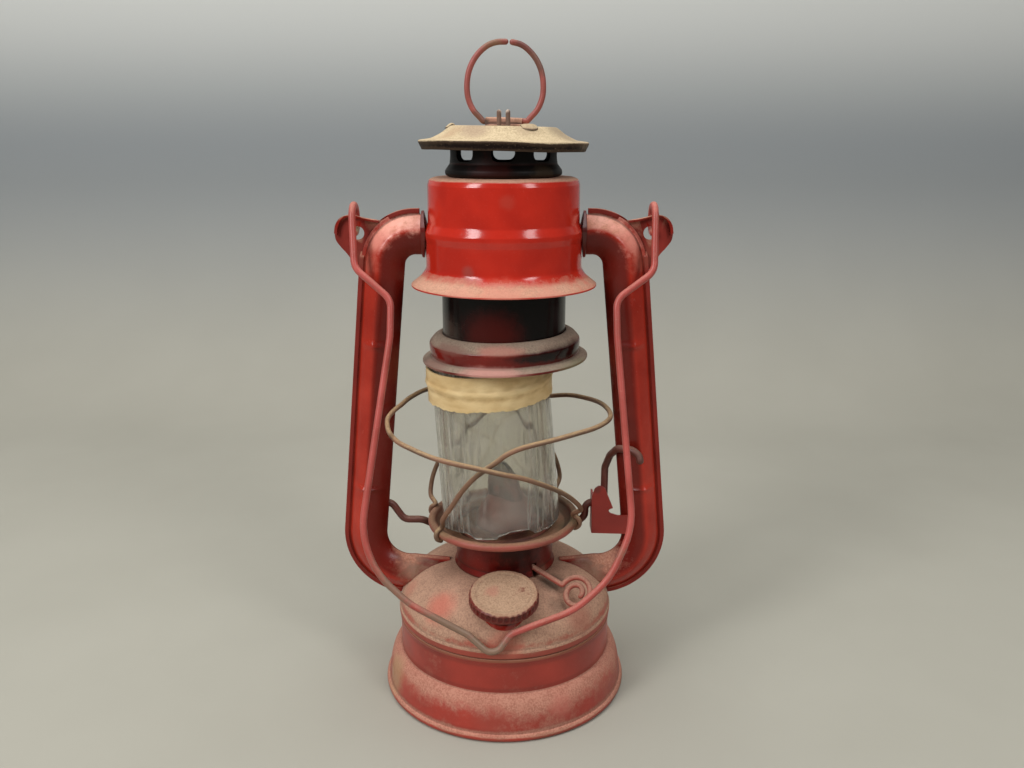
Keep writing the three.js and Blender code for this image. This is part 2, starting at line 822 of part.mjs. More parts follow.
function globeGlass() {
  const low = -plate_depth - plate_bead / 2 + sheet + gap;
  const count = flutes * 2;
  const sections = [];
  for (let i = 0; i < count; i++) {
    const angle = (-2 * Math.PI * i) / count;
    const flute = i % 2 ? flute_depth : 0;
    const edge = chipAt(i / count);
    const row = (z, wall) => {
      const radius = glassRadiusAt(z) - flute - wall;
      return new THREE.Vector3(radius * Math.cos(angle) - glass_side, radius * Math.sin(angle), low + z);
    };
    sections.push([row(edge, 0), row(glass_length, 0), row(glass_length, glass_wall), row(edge, glass_wall)]);
  }
  return skinnedRing(sections);
}

function glassTape() {
  const inner = (z) => glassRadiusAt(z) + gap + tape_side;
  const middle = tape_low + tape_height / 2;
  const high = tape_low + tape_height;
  const fold = fold_depth;
  const band = turned([
    [inner(tape_low), tape_low],
    [inner(tape_low) + tape_thick, tape_low],
    [inner(middle) + tape_thick, middle - fold],
    [inner(middle) + tape_thick + fold, middle],
    [inner(middle) + tape_thick, middle + fold],
    [inner(high) + tape_thick, high],
    [inner(high), high],
  ], facets);
  return band.translate(-glass_side - tape_side, 0, 0);
}

// A guard wire from [share of a turn, height share, radius share] places, hooked round the bead at both ends
function guardWire(places) {
  const middle = plate_radius - plate_bead;
  const hook = plate_bead + guard_wire_radius + gap;
  const at = (turn, reach, rise) => new THREE.Vector3(
    reach * Math.cos(2 * Math.PI * turn),
    reach * Math.sin(2 * Math.PI * turn),
    rise,
  );
  const hookEnd = (turn) => guard_hook_degrees.map((angle) => at(
    turn,
    middle + hook * Math.cos(degrees(angle)),
    hook * Math.sin(degrees(angle)),
  ));
  const first = places[0][0];
  const last = places[places.length - 1][0];
  const inward = guard_lead_share * Math.sign(places[1][0] - first);
  const free = places.map(([turn, rise, reach]) => at(turn, guard_radius * reach, guard_height * rise));
  const lead = new THREE.CatmullRomCurve3(free, false, 'centripetal');
  const run = lead.getPoints(2 * (places.length - 1));
  const start = hookEnd(first - inward);
  const end = hookEnd(last + inward * Math.sign(last)).reverse();
  return wire([...start, ...run, ...end], guard_wire_radius);
}

// Hood frame: the crown leans a little on the glass, the rest stands upright
const hood = new THREE.Group();
lantern.add(hood);

function crown() {
  const high = crown_height + crown_rise;
  const neck = chimney_radius + gap;
  const out = bulge_radius - neck;
  const low = crown_height;
  const profile = [
    [neck, high],
    [neck + out * 0.2, high],
    [neck + out * 0.58, high - crown_rise * 0.09],
    [bulge_radius, high - crown_rise * 0.33],
    [bulge_radius, high - crown_rise * 0.55],
    [bulge_radius - sheet, low + crown_rise * 0.13],
    [crown_radius, low + sheet / 2],
    [crown_radius, low - sheet],
    [crown_radius - sheet, low - sheet],
    [bulge_radius - 2 * sheet, low + crown_rise * 0.09],
    [bulge_radius - sheet, low + crown_rise * 0.45],
    [bulge_radius - sheet, low + crown_rise * 0.65],
    [neck + out * 0.5, high - crown_rise * 0.15],
    [neck, high - sheet],
  ];
  return turned(profile, facets);
}

function crownSeat() {
  const outer = bulge_radius - 2 * sheet - gap;
  const inner = glass_top_radius - glass_wall - sheet;
  return turned([
    [inner, crown_seat_height],
    [outer, crown_seat_height],
    [outer, crown_seat_height + sheet],
    [inner, crown_seat_height + sheet],
  ], facets);
}

function leanCrown(geometry) {
  geometry.translate(0, 0, -crown_height).rotateY(-degrees(crown_lean_degrees));
  return geometry.translate(globe_side, 0, crown_height);
}

function chimney() {
  const low = crown_height + crown_rise - 2 * sheet;
  const lip = vent_height + 2 * sheet;
  const flare = vent_radius - gap;
  return turned([
    [chimney_radius - sheet, low],
    [chimney_radius, low],
    [chimney_radius, chimney_top - throat_drop],
    [throat_radius, chimney_top],
    [throat_radius, lip],
    [flare, lip + 2 * sheet],
    [flare, lip + 3 * sheet],
    [throat_radius - sheet, lip + sheet],
    [throat_radius - sheet, chimney_top],
    [chimney_radius - sheet, chimney_top - throat_drop - sheet / 2],
  ], facets);
}

function ventRing() {
  const top = cap_height - sheet - gap;
  const low = vent_height;
  const out = vent_bulge;
  const shell = turned([
    [vent_radius + gap, low],
    [out, low + 2 * sheet],
    [out, low + 5 * sheet],
    [vent_radius, low + 9 * sheet],
    [vent_radius, top - 2 * sheet],
    [plateau_radius - sheet, top],
    [plateau_radius - 2 * sheet, top],
    [vent_radius - sheet, top - 2 * sheet],
    [vent_radius - sheet, low + 9 * sheet],
    [out - sheet, low + 5 * sheet],
    [out - sheet, low + 3 * sheet],
    [vent_radius + gap, low + sheet],
  ], facets);
  const windows = [];
  const sill = low + window_sill;
  for (let i = 0; i < vent_windows / 2; i++) {
    const slot = new THREE.BoxGeometry(4 * vent_radius, vent_window, top - sill - 2 * sheet);
    slot.translate(0, 0, (top + sill) / 2 - sheet).rotateZ(Math.PI / 2 + (2 * Math.PI * i) / vent_windows);
    windows.push(slot);
  }
  return cut(shell, ...windows);
}

function smokeCap() {
  const brim = cap_height - brim_drop;
  const lip = cap_height - lip_drop;
  const run = brim_radius - plateau_radius;
  const shell = turned([
    [0, cap_height],
    [plateau_radius, cap_height],
    [plateau_radius + run * 0.3, cap_height - brim_drop * 0.52],
    [plateau_radius + run * 0.62, cap_height - brim_drop * 0.86],
    [brim_radius, brim],
    [brim_radius, brim - sheet],
    [brim_radius - lip_tuck, lip],
    [brim_radius - lip_tuck - sheet, lip],
    [brim_radius - 2 * sheet, brim - sheet],
    [plateau_radius + run * 0.62, cap_height - brim_drop * 0.86 - sheet],
    [plateau_radius + run * 0.3 - sheet / 2, cap_height - brim_drop * 0.52 - sheet],
    [plateau_radius - sheet / 2, cap_height - sheet],
    [0, cap_height - sheet],
  ], facets);
  const tabs = tab_angles_degrees.map((angle) => {
    const outline = new THREE.Shape().absellipse(0, 0, tab_rise, tab_width / 2, -Math.PI / 2, Math.PI / 2);
    const tab = pressed(outline, sheet).rotateY(-Math.PI / 5);
    tab.translate(plateau_radius - 2 * tab_rise, 0, cap_height - sheet / 2);
    return tab.rotateZ(degrees(angle));
  });
  const posts = bar(1, -sheet, sheet).scale(stop_wire_radius + gap, stop_wire_radius + gap, 2);
  const holes = [-1, 1].map((side) => posts.clone().translate(side * stop_spread, -stop_front, cap_height));
  return cut(join(shell, ...tabs), ...holes);
}

// Bridge: a strap riveted to the cap, its two feet pierced for the ring's ends
function ringBridge() {
  const half = bridge_span / 2;
  const low = cap_height + gap;
  const high = low + bridge_rise;
  const foot = half + 2 * sheet;
  const under = [[-foot, low], [-half + sheet, low], [-half + sheet, high - sheet],
    [half - sheet, high - sheet], [half - sheet, low], [foot, low]];
  const over = [[foot, low + sheet], [half, low + sheet], [half, high], [-half, high], [-half, low + sheet],
    [-foot, low + sheet]];
  const outline = [...under, ...over];
  const strap = plateXZ(outline, bridge_back - bridge_width / 2, bridge_back + bridge_width / 2);
  const bore = bar(ring_wire + gap, -overrun, overrun, small_facets / 2).rotateY(Math.PI / 2);
  return cut(strap, bore.translate(0, bridge_back, low + bridge_rise / 2));
}

// Stop wire: one bent wire whose two ends stand up through the cap
function stopWire() {
  const low = cap_height - 4 * sheet;
  const high = cap_height + stop_rise;
  const corners = [[-stop_spread, high], [-stop_spread, low], [stop_spread, low], [stop_spread, high]];
  const points = bent(corners.map(([x, z]) => new THREE.Vector3(x, -stop_front, z)), stop_wire_radius * 2);
  return wire(points, stop_wire_radius);
}

// Lift ring: one wire that runs straight through the bridge, its two ends meeting at the top
function liftRing() {
  const axis = cap_height + gap + bridge_rise / 2;
  const foot = bridge_span / 2 + ring_wire + sheet + gap;
  const middle = ring_height - ring_half_width;
  const steps = 9;
  const side = [];
  for (let i = 0; i <= steps; i++) {
    const angle = ring_low + (Math.PI / 2 - ring_low - ring_gap / ring_half_width) * (i / steps);
    side.push([ring_half_width * Math.cos(angle), middle + ring_half_width * Math.sin(angle)]);
  }
  const at = ([x, z]) => new THREE.Vector3(x + ring_side, bridge_back, axis + z);
  const [end_x, end_z] = side[0];
  const low = bent([[end_x, end_z], [foot, 0], [-foot, 0], [-end_x, end_z]].map(at), ring_wire * 2);
  const right = side.slice(1).reverse().map(at);
  const left = side.slice(1).map(([x, z]) => at([-x, z]));
  return wire([...right, ...low, ...left], ring_wire);
}

// Canopy profile, outside then inside
function canopyOutline(margin) {
  const top = canopy_top + margin;
  const r = canopy_radius + margin;
  const low = canopy_low_radius + margin;
  const bead = canopy_bead + margin;
  const half = canopy_shoulder / 2;
  return [
    [r - canopy_shoulder, top],
    [r - canopy_shoulder * 0.3, top - canopy_shoulder * 0.3],
    [r, top - canopy_shoulder],
    [r + gap, canopy_bead_height + half],
    [bead, canopy_bead_height + half / 2],
    [bead, canopy_bead_height - half / 2],
    [low, canopy_bead_height - half],
    [low, flange_height + flange_flare],
    [low + (flange_radius + margin - low) * 0.35, flange_height + flange_flare * 0.5],
    [flange_radius + margin, flange_height + sheet / 2],
  ];
}

function canopyBody() {
  const outside = canopyOutline(0);
  const inside = canopyOutline(-sheet).filter((_, i) => i !== 1 && i !== 4 && i !== 5);
  inside[inside.length - 1][1] -= sheet;
  inside.reverse();
  const shell = turned([
    [canopy_mouth, canopy_top],
    ...outside,
    [flange_radius, flange_height - sheet],
    ...inside,
    [canopy_mouth, canopy_top - sheet],
  ], big_facets);
  const air = bar(1, -2 * canopy_bead, 2 * canopy_bead, small_facets / 2).rotateY(Math.PI / 2);
  return cut(shell, air.scale(1, air_hole_width, air_hole_rise).translate(0, 0, tube_axis_height));
}

// The side tube's centre line on the right: [x, z, outward normal angle, rib] stations
function tubeStations() {
  const splay = degrees(tube_splay_degrees);
  const first_turn = Math.PI / 2 - splay;
  const last_turn = Math.PI / 2 + splay + degrees(foot_fall_degrees);
  const stations = [];
  const push = (x, z, normal, rib = 0) => stations.push({ x, z, normal, rib });
  const elbow_z = tube_axis_height - elbow_radius;
  push(canopy_low_radius - sheet, tube_axis_height, Math.PI / 2);
  const elbow_steps = 5;
  for (let i = 0; i <= elbow_steps; i++) {
    const normal = Math.PI / 2 - first_turn * (i / elbow_steps);
    push(elbow_start + elbow_radius * Math.cos(normal), elbow_z + elbow_radius * Math.sin(normal), normal);
  }
  const top_x = elbow_start + elbow_radius * Math.cos(splay);
  const top_z = elbow_z + elbow_radius * Math.sin(splay);
  const along = (z) => top_x + (top_z - z) * Math.tan(splay);
  for (const height of bead_heights) {
    for (const [step, rib] of [[1, 0], [0.4, 1], [-0.4, 1], [-1, 0]]) {
      const z = height + step * rib_half_width;
      push(along(z), z, splay, rib);
    }
  }
  const bend_z = foot_bend_height + foot_bend_radius * Math.sin(splay);
  const bend_x = along(bend_z) - foot_bend_radius * Math.cos(splay);
  const bend_steps = 6;
  for (let i = 0; i <= bend_steps; i++) {
    const normal = splay - last_turn * (i / bend_steps);
    const z = foot_bend_height + foot_bend_radius * Math.sin(normal);
    push(bend_x + foot_bend_radius * Math.cos(normal), z, normal);
  }
  const end = splay - last_turn;
  const run = bend_x + foot_bend_radius * Math.cos(end) - (tube_reach - 2 * sheet);
  const last = stations[stations.length - 1];
  push(last.x - run, last.z - run * Math.tan(degrees(foot_fall_degrees)), end);
  return stations;
}

// A section of [across, depth] pairs carried along the tube
function tubeSweep(sectionAt) {
  const placed = ({ x, z, normal }, [u, v]) => {
    return new THREE.Vector3(x + u * Math.cos(normal), v, z + u * Math.sin(normal));
  };
  const rings = tubeStations().map((station) => sectionAt(station.rib).map((pair) => placed(station, pair)));
  return skinned(rings, sectionAt(0).map(([u, v]) => new THREE.Vector2(u, v)));
}

function lens(margin, rib, side) {
  const shares = margin < 0 ? lens_core_shares : lens_shares;
  return shares.map(([u, v]) => [
    (tube_half_width + margin) * u,
    side * Math.max((tube_depth + margin + rib * rib_rise) * v, gap / 2),
  ]);
}

function tubeFront() {
  return tubeSweep((rib) => [
    ...lens(0, rib, -1).slice(0, -1),
    [tube_half_width, -sheet - gap / 2],
    [tube_half_width + crimp_flange, -sheet - gap / 2],
    [tube_half_width + crimp_flange, -gap / 2],
    ...lens(-sheet, rib, -1).reverse(),
  ]);
}

function tubeBack() {
  const out = tube_half_width + crimp_flange + gap;
  const hem = -sheet - gap / 2 - gap;
  return tubeSweep((rib) => [
    ...lens(0, rib, 1).slice(0, -1),
    [tube_half_width, sheet + gap / 2],
    [out + crimp_hem, sheet + gap / 2],
    [out + crimp_hem, hem - crimp_hem],
    [tube_half_width + gap, hem - crimp_hem],
    [tube_half_width + gap, hem],
    [out, hem],
    [out, gap / 2],
    ...lens(-sheet, rib, 1).reverse(),
  ]);
}

function tubeTrim(margin) {
  return tubeSweep((rib) => [...lens(margin, rib, -1), ...lens(margin, rib, 1).reverse()]);
}

// What every tube half is trimmed by: the fount, the canopy and the burner collar
function tubeCuts() {
  const inside = bar(tube_reach, 0, dome_top + 2 * tube_depth, facets);
  const around = bar(canopy_bead + gap, tube_axis_height - overrun, tube_axis_height + overrun, big_facets);
  const clear_width = 2 * (canopy_bead + collar_thick + gap);
  const crimp_clear = new THREE.BoxGeometry(clear_width, 4 * tube_depth, 2 * tube_half_width);
  crimp_clear.translate(0, 0, tube_axis_height + 2 * tube_half_width - 2 * gap);
  return [fountTrim(gap), inside, around, crimp_clear];
}

// The crimped flange of the front half, grown by a margin
function crimpTrim(margin) {
  const out = tube_half_width + crimp_flange + margin;
  return tubeSweep(() => [[0, margin], [0, -ear_lip_thick], [out, -ear_lip_thick], [out, margin]]);
}

// Ear plate with a lip along its upper edge, in the plane of the crimp
function earPlate() {
  const point = ([x, z]) => [ear_hole_side + ear_reach * x, ear_hole_height + ear_top_rise * z];
  const outer = ear_shares.map(point);
  const inner = ear_inner_shares.map(point);
  const plate = plateXZ([...outer, ...inner], gap / 2, gap / 2 + sheet);
  const edge = outer.slice(0, 5);
  const hem = [...edge, ...edge.map(([x, z]) => [x, z - ear_lip]).reverse()];
  const lip = plateXZ(hem, gap / 2 + sheet - ear_lip_thick, gap / 2 + sheet);
  return [plate, cut(lip, crimpTrim(gap))];
}

function earHole() {
  const bore = bar(ear_hole_radius, -overrun, overrun, small_facets / 2).rotateX(Math.PI / 2);
  return bore.translate(ear_hole_side, 0, ear_hole_height);
}

function pivotHole(side, radius) {
  const reach = overrun;
  const bore = bar(radius, -reach, reach, small_facets / 2).rotateY(Math.PI / 2);
  return bore.translate(side, pivot_back, pivot_height);
}

// Ring of sheet round the tube's end, seated on the canopy
function tubeCollar() {
  const grow = collar_flange;
  const ring = (margin) => [...lens(margin, 0, -1), ...lens(margin, 0, 1).reverse()];
  const start = canopy_low_radius - 2 * sheet;
  const end = canopy_bead + collar_thick;
  const solid = (margin, from, to) => {
    const placed = (x) => ring(margin).map(([u, v]) => new THREE.Vector3(x, v, tube_axis_height + u));
    return skinned([from, to].map(placed), ring(margin).map(([u, v]) => new THREE.Vector2(u, v)));
  };
  return cut(solid(grow, start, end), solid(gap, start - overrun, end + overrun), canopyFill(gap));
}

function canopyFill(margin) {
  const outline = canopyOutline(margin);
  const low = [[0, flange_height], [flange_radius + margin, flange_height]];
  return turned([...low, ...outline.reverse(), [0, canopy_top + margin]], big_facets);
}

// The bail hangs in its own plane, which leans forward from the eyes
function bailPath() {
  const tip = degrees(bail_rest_degrees);
  const axis_height = ear_hole_height + eye_radius;
  const from_y = -eye_radius * Math.cos(tip);
  const from_z = axis_height + eye_radius * Math.sin(tip);
  const at = (x, drop) => new THREE.Vector3(x, from_y - drop * Math.sin(tip), from_z - drop * Math.cos(tip));
  const side = ([x, l], sign) => at(sign * x * eye_side, l * bail_drop);
  const corners = [
    at(-eye_side, 0),
    ...bail_left_shares.map((p) => side(p, -1)),
    ...notch_shares.map((p) => side(p, 1)),
    ...bail_right_shares.map((p) => side(p, 1)),
    at(eye_side, 0),
  ];
  const long = bail_side_bend;
  const bends = [0, bail_bend, bail_bend, long, long, long, long, notch_bend, notch_bend, notch_bend,
    long, long, long, long, bail_bend, bail_bend, 0];
  const eye = (x) => {
    const steps = 10;
    const points = [];
    for (let i = 1; i <= steps; i++) {
      const angle = Math.PI - tip - degrees(eye_sweep_degrees) * (i / steps);
      const z = axis_height + eye_radius * Math.sin(angle);
      points.push(new THREE.Vector3(x, eye_radius * Math.cos(angle), z));
    }
    return points;
  };
  return [...eye(-eye_side).reverse(), ...bent(corners, bends), ...eye(eye_side)];
}

// Centre line of the lift lever from its end in the left tube to the tip of its handle
function leverPath() {
  const axis = (x) => new THREE.Vector3(x, pivot_back, pivot_height);
  const low = pivot_height - crank_drop;
  const rim = plate_radius + plate_bead;
  const yoke = [];
  const steps = 6;
  const spread = degrees(yoke_sweep_degrees);
  for (let i = 0; i <= steps; i++) {
    const angle = Math.PI / 2 + spread * (1 - (2 * i) / steps);
    const rise = (1 - Math.abs(1 - (2 * i) / steps)) * yoke_back_rise;
    const [x, y] = [yoke_radius * Math.cos(angle), yoke_radius * Math.sin(angle)];
    yoke.push(new THREE.Vector3(x, y, yoke_height + rise));
  }
  const tube_inside = innerEdgeAt(pivot_height);
  const corners = [
    axis(-tube_inside - pivot_inset),
    axis(-tube_inside + lever_wire / 2),
    new THREE.Vector3(-tube_inside + crank_drop * 0.75, pivot_back, low),
    new THREE.Vector3(-rim - lever_wire, pivot_back, low),
    new THREE.Vector3(-rim + 2 * lever_wire, pivot_back + 2 * lever_wire, yoke_height),
    ...yoke,
    new THREE.Vector3(rim - 2 * lever_wire, pivot_back + lever_wire, yoke_height + lever_wire),
    new THREE.Vector3(rim + lever_wire / 2, pivot_back, low + lever_wire),
    new THREE.Vector3(rim + lever_wire / 2, pivot_back, pivot_height),
    axis(lever_post_side),
    ...handle_shares.map(([x, y, z]) => new THREE.Vector3(
      lever_post_side + (handle_side - lever_post_side) * x,
      pivot_back - (pivot_back + handle_front) * y,
      pivot_height + handle_rise * z,
    )),
  ];
  return bent(corners, lever_bend);
}

// How far the right tube's inner edge stands from the middle at a height on its straight run
function innerEdgeAt(z) {
  const splay = degrees(tube_splay_degrees);
  const top_x = elbow_start + elbow_radius * Math.cos(splay);
  const top_z = tube_axis_height - elbow_radius + elbow_radius * Math.sin(splay);
  return top_x + (top_z - z) * Math.tan(splay) - tube_half_width / Math.cos(splay);
}

function catchPlate() {
  const outline = catch_shares.map(([x, z]) => [catch_left + catch_width * x, catch_low + catch_rise * z]);
  const front = -catch_front - catch_thick / 2;
  const face = plateXZ(outline, front, front + catch_thick);
  const fold = plateXZ([
    [catch_left, catch_low],
    [catch_left + catch_thick, catch_low],
    [catch_left + catch_thick, catch_low + 0.78 * catch_rise],
    [catch_left, catch_low + 0.78 * catch_rise],
  ], front, front + catch_flange);
  return cut(join(face, fold), pivotBore(), tubeTrim(gap));
}

function pivotBore() {
  const bore = bar(lever_wire + gap, 0, 4 * catch_thick, small_facets / 2).rotateY(Math.PI / 2);
  return bore.translate(catch_left - catch_thick, pivot_back, pivot_height);
}

// Fount and burner
place('fount_side', fountSide(), 'red_enamel');
place('fount_top', fountTop(), 'red_enamel');
place('fount_bottom', fountFloor(), 'red_enamel');
place('filler_neck', fillerNeck(), 'red_enamel');
const filler = fillerFrame();
lantern.add(filler);
place('filler_gasket', fillerGasket(), 'cork_rubber', filler);
place('filler_cap', fillerCap(), 'red_enamel', filler);
place('burner_collar', burnerCollar(), 'red_enamel');
place('burner_seat', burnerSeat(), 'brass');
place('burner_deck', burnerDeck(), 'brass');
place('wick_tube', wickTube(), 'brass');
place('wick', wick(), 'cotton_wick');
const spindle = spindleFrame();
lantern.add(spindle);
place('wick_spindle', wickSpindle(), 'red_enamel', spindle);
wickWheels().forEach((wheel, i) => place(`wick_wheel_${i + 1}`, wheel, 'brass', spindle));

// Side tubes with their ears and collars, and the canopy between them
const trims = tubeCuts();
const left_pivot = pivotHole(innerEdgeAt(pivot_height) + overrun / 3, lever_wire + gap);
const front_half = cut(tubeFront(), ...trims);
const back_half = cut(join(cut(tubeBack(), ...trims), ...earPlate()), earHole());
place('right_tube_front', front_half, 'red_enamel');
place('right_tube_back', back_half, 'red_enamel');
place('left_tube_front', mirrored(cut(front_half, left_pivot)), 'red_enamel');
place('left_tube_back', mirrored(cut(back_half, left_pivot)), 'red_enamel');
place('right_tube_collar', tubeCollar(), 'red_enamel');
place('left_tube_collar', mirrored(tubeCollar()), 'red_enamel');
place('canopy', canopyBody(), 'bright_red_enamel');
place('catch_plate', catchPlate(), 'red_enamel');

// Globe carriage
place('globe_plate', globePlate(), 'red_enamel', globe);
place('burner_cone', burnerCone(), 'tin_plate', globe);
place('left_guard_wire', guardWire(left_guard_shares), 'rusty_wire', globe);
place('right_guard_wire', guardWire(right_guard_shares), 'rusty_wire', globe);
place('globe_glass', globeGlass(), 'clouded_glass', globe);
place('glass_tape', glassTape(), 'paper_band', globe);

// Hood
place('crown', leanCrown(crown()), 'sooty_steel', hood);
place('crown_seat', leanCrown(crownSeat()), 'sooty_steel', hood);
place('chimney', chimney(), 'sooty_steel', hood);
place('vent_ring', ventRing(), 'sooty_steel', hood);
place('smoke_cap', smokeCap(), 'sooty_steel', hood);
place('ring_bridge', ringBridge(), 'sooty_steel', hood);
place('stop_wire', stopWire(), 'rusty_wire', hood);
place('lift_ring', liftRing(), 'red_enamel', hood);

// Lift lever and bail
place('lift_lever', wire(leverPath(), lever_wire), 'red_enamel');
place('bail', wire(bailPath(), bail_wire, bail_sides), 'red_enamel');

export default lantern;
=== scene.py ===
import math

import bmesh
import bpy
import numpy as np
from mathutils import Matrix


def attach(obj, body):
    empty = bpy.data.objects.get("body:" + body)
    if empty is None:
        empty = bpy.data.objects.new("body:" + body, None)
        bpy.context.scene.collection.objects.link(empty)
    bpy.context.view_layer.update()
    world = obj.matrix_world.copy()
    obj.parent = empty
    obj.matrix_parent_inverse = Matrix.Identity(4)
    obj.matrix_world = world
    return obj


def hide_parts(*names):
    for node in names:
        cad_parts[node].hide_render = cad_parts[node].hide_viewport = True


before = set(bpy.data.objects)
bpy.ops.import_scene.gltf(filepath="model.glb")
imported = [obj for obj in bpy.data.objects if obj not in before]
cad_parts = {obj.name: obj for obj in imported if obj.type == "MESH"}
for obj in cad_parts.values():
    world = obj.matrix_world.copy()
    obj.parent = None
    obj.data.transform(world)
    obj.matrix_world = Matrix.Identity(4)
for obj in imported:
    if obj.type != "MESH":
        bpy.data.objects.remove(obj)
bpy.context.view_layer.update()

# Camera: where the photograph was taken from, 46 cm in front of the lantern's middle and level with its cap,
# looking 15 degrees down through a lens that shows 59 degrees from side to side.
camera = bpy.data.objects.new("camera", bpy.data.cameras.new("camera"))
camera.data.sensor_width = 36
camera.data.lens = 31.64
camera.location = (0.00418, -0.4629, 0.2995)
camera.rotation_euler = (math.radians(74.63), 0, 0)
bpy.context.scene.collection.objects.link(camera)
bpy.context.scene.camera = camera
bpy.context.scene.view_settings.view_transform = "Standard"


# Floor and backdrop: one sheet of smooth grey felt that lies flat under the lantern and curves up behind it.
# Felt is matte, with a soft mottling a few centimetres wide and no weave that shows. It gives the eye a warm grey
# underfoot; a cooler, darker grey behind the lantern is painted shade, and a paler grey high up is painted light.
def rgb(hexa):
    """An sRGB hex value as linear red, green and blue, and an alpha of 1."""
    values = [int(hexa[i:i + 2], 16) / 255 for i in (0, 2, 4)]
    return [v / 12.92 if v <= 0.04045 else ((v + 0.055) / 1.055) ** 2.4 for v in values] + [1.0]


def add(material, kind, links={}, **settings):
    """Adds one node with its settings, and gives each input a value or joins it to another node's output."""
    made = material.node_tree.nodes.new("ShaderNode" + kind)
    for key, value in settings.items():
        setattr(made, key, value)
    for key, value in links.items():
        if isinstance(value, bpy.types.NodeSocket):
            material.node_tree.links.new(value, made.inputs[key])
        else:
            made.inputs[key].default_value = value
    return made.outputs


def bare_material(name):
    """A material with an empty node tree."""
    made = bpy.data.materials.new(name)
    made.use_nodes = True
    made.node_tree.nodes.clear()
    return made


def arc(middle, radius, start, end, count=16):
    """Points on a circle or an ellipse: middle + radius (cosine, sine), from one angle to another in degrees."""
    angle = np.radians(np.linspace(start, end, count))
    return np.array(middle) + np.array(radius) * np.stack([np.cos(angle), np.sin(angle)], -1)


floor_width, floor_front, floor_back, floor_bend, floor_top = 4.8, -2.2, 0.42, 0.25, 2.4
floor_line = np.concatenate([
    [[floor_front, 0], [floor_back, 0]], arc((floor_back, floor_bend), floor_bend, -90, 0, 24)[1:],
    [[floor_back + floor_bend, floor_top]]])
floor_sides = np.array([-0.5, 0.5])[:, None] * floor_width
floor_grid = np.stack(np.broadcast_arrays(floor_sides, floor_line[:, 0], floor_line[:, 1]), -1)
floor_mesh = bpy.data.meshes.new("floor")
floor_count = len(floor_line)
floor_mesh.from_pydata(floor_grid.reshape(-1, 3), [], [
    (i, i + floor_count, i + floor_count + 1, i + 1) for i in range(floor_count - 1)])
floor_mesh.shade_smooth()
floor = bpy.data.objects.new("floor", floor_mesh)
bpy.context.scene.collection.objects.link(floor)
felt = bare_material("grey_felt")
felt_place = add(felt, "TexCoord")["Object"]
felt_cloud = add(felt, "TexNoise", {"Vector": felt_place, "Scale": 9.0, "Detail": 3.0})["Fac"]
felt_height = add(felt, "SeparateXYZ", {0: felt_place})["Z"]
felt_tone = add(felt, "Mix", {0: felt_cloud, 6: rgb("a09d91"), 7: rgb("a9a69a")}, data_type="RGBA")[2]
# Painted shade darkens the felt behind the lantern, and painted light pales it high up.
for low, high, tone in ((0.0, 0.3, "8d9193"), (0.28, 0.48, "c6c7c3")):
    felt_light_and_shade = add(felt, "MapRange", {"Value": felt_height, "From Min": low, "From Max": high},
                    interpolation_type="SMOOTHSTEP")[0]
    felt_tone = add(felt, "Mix", {0: felt_light_and_shade, 6: felt_tone, 7: rgb(tone)}, data_type="RGBA")[2]
felt_shader = add(felt, "BsdfPrincipled", {"Base Color": felt_tone, "Roughness": 0.95, "Specular IOR Level": 0.2})
add(felt, "OutputMaterial", {"Surface": felt_shader[0]})
floor_mesh.materials.append(felt)

# Studio light: two tall soft boxes in front, the left one twice as strong as the right, a wide one overhead and a
# dim pale room all round. The two in front give enamel and glass their upright highlights, and sizes are in metres.
for name, place, tilt, size, power in [
    ("left_box", (-0.95, -0.85, 0.95), (58, 0, -48), (0.4, 0.8), 13),
    ("right_box", (0.85, -0.9, 1.0), (58, 0, 43), (0.35, 0.7), 6.5),
    ("top_box", (-0.1, -0.15, 1.6), (0, 0, 0), (1.5, 1.2), 19),
]:
    lamp = bpy.data.lights.new(name, "AREA")
    lamp.shape = "RECTANGLE"
    lamp.size, lamp.size_y = size
    lamp.energy = power
    soft_box = bpy.data.objects.new(name, lamp)
    soft_box.location = place
    soft_box.rotation_euler = [math.radians(angle) for angle in tilt]
    bpy.context.scene.collection.objects.link(soft_box)
room = bpy.data.worlds.new("room")
room.use_nodes = True
room.node_tree.nodes["Background"].inputs["Color"].default_value = rgb("d9dcdf")
room.node_tree.nodes["Background"].inputs["Strength"].default_value = 0.15
bpy.context.scene.world = room


# Fount side: the band and flared foot, drawn from one strip of tinplate, with its lower edge rolled round a wire.
# It is stove-enamelled red. The band keeps some gloss, and the foot holds dust, freckles and rubbed rust.
mm = 0.001


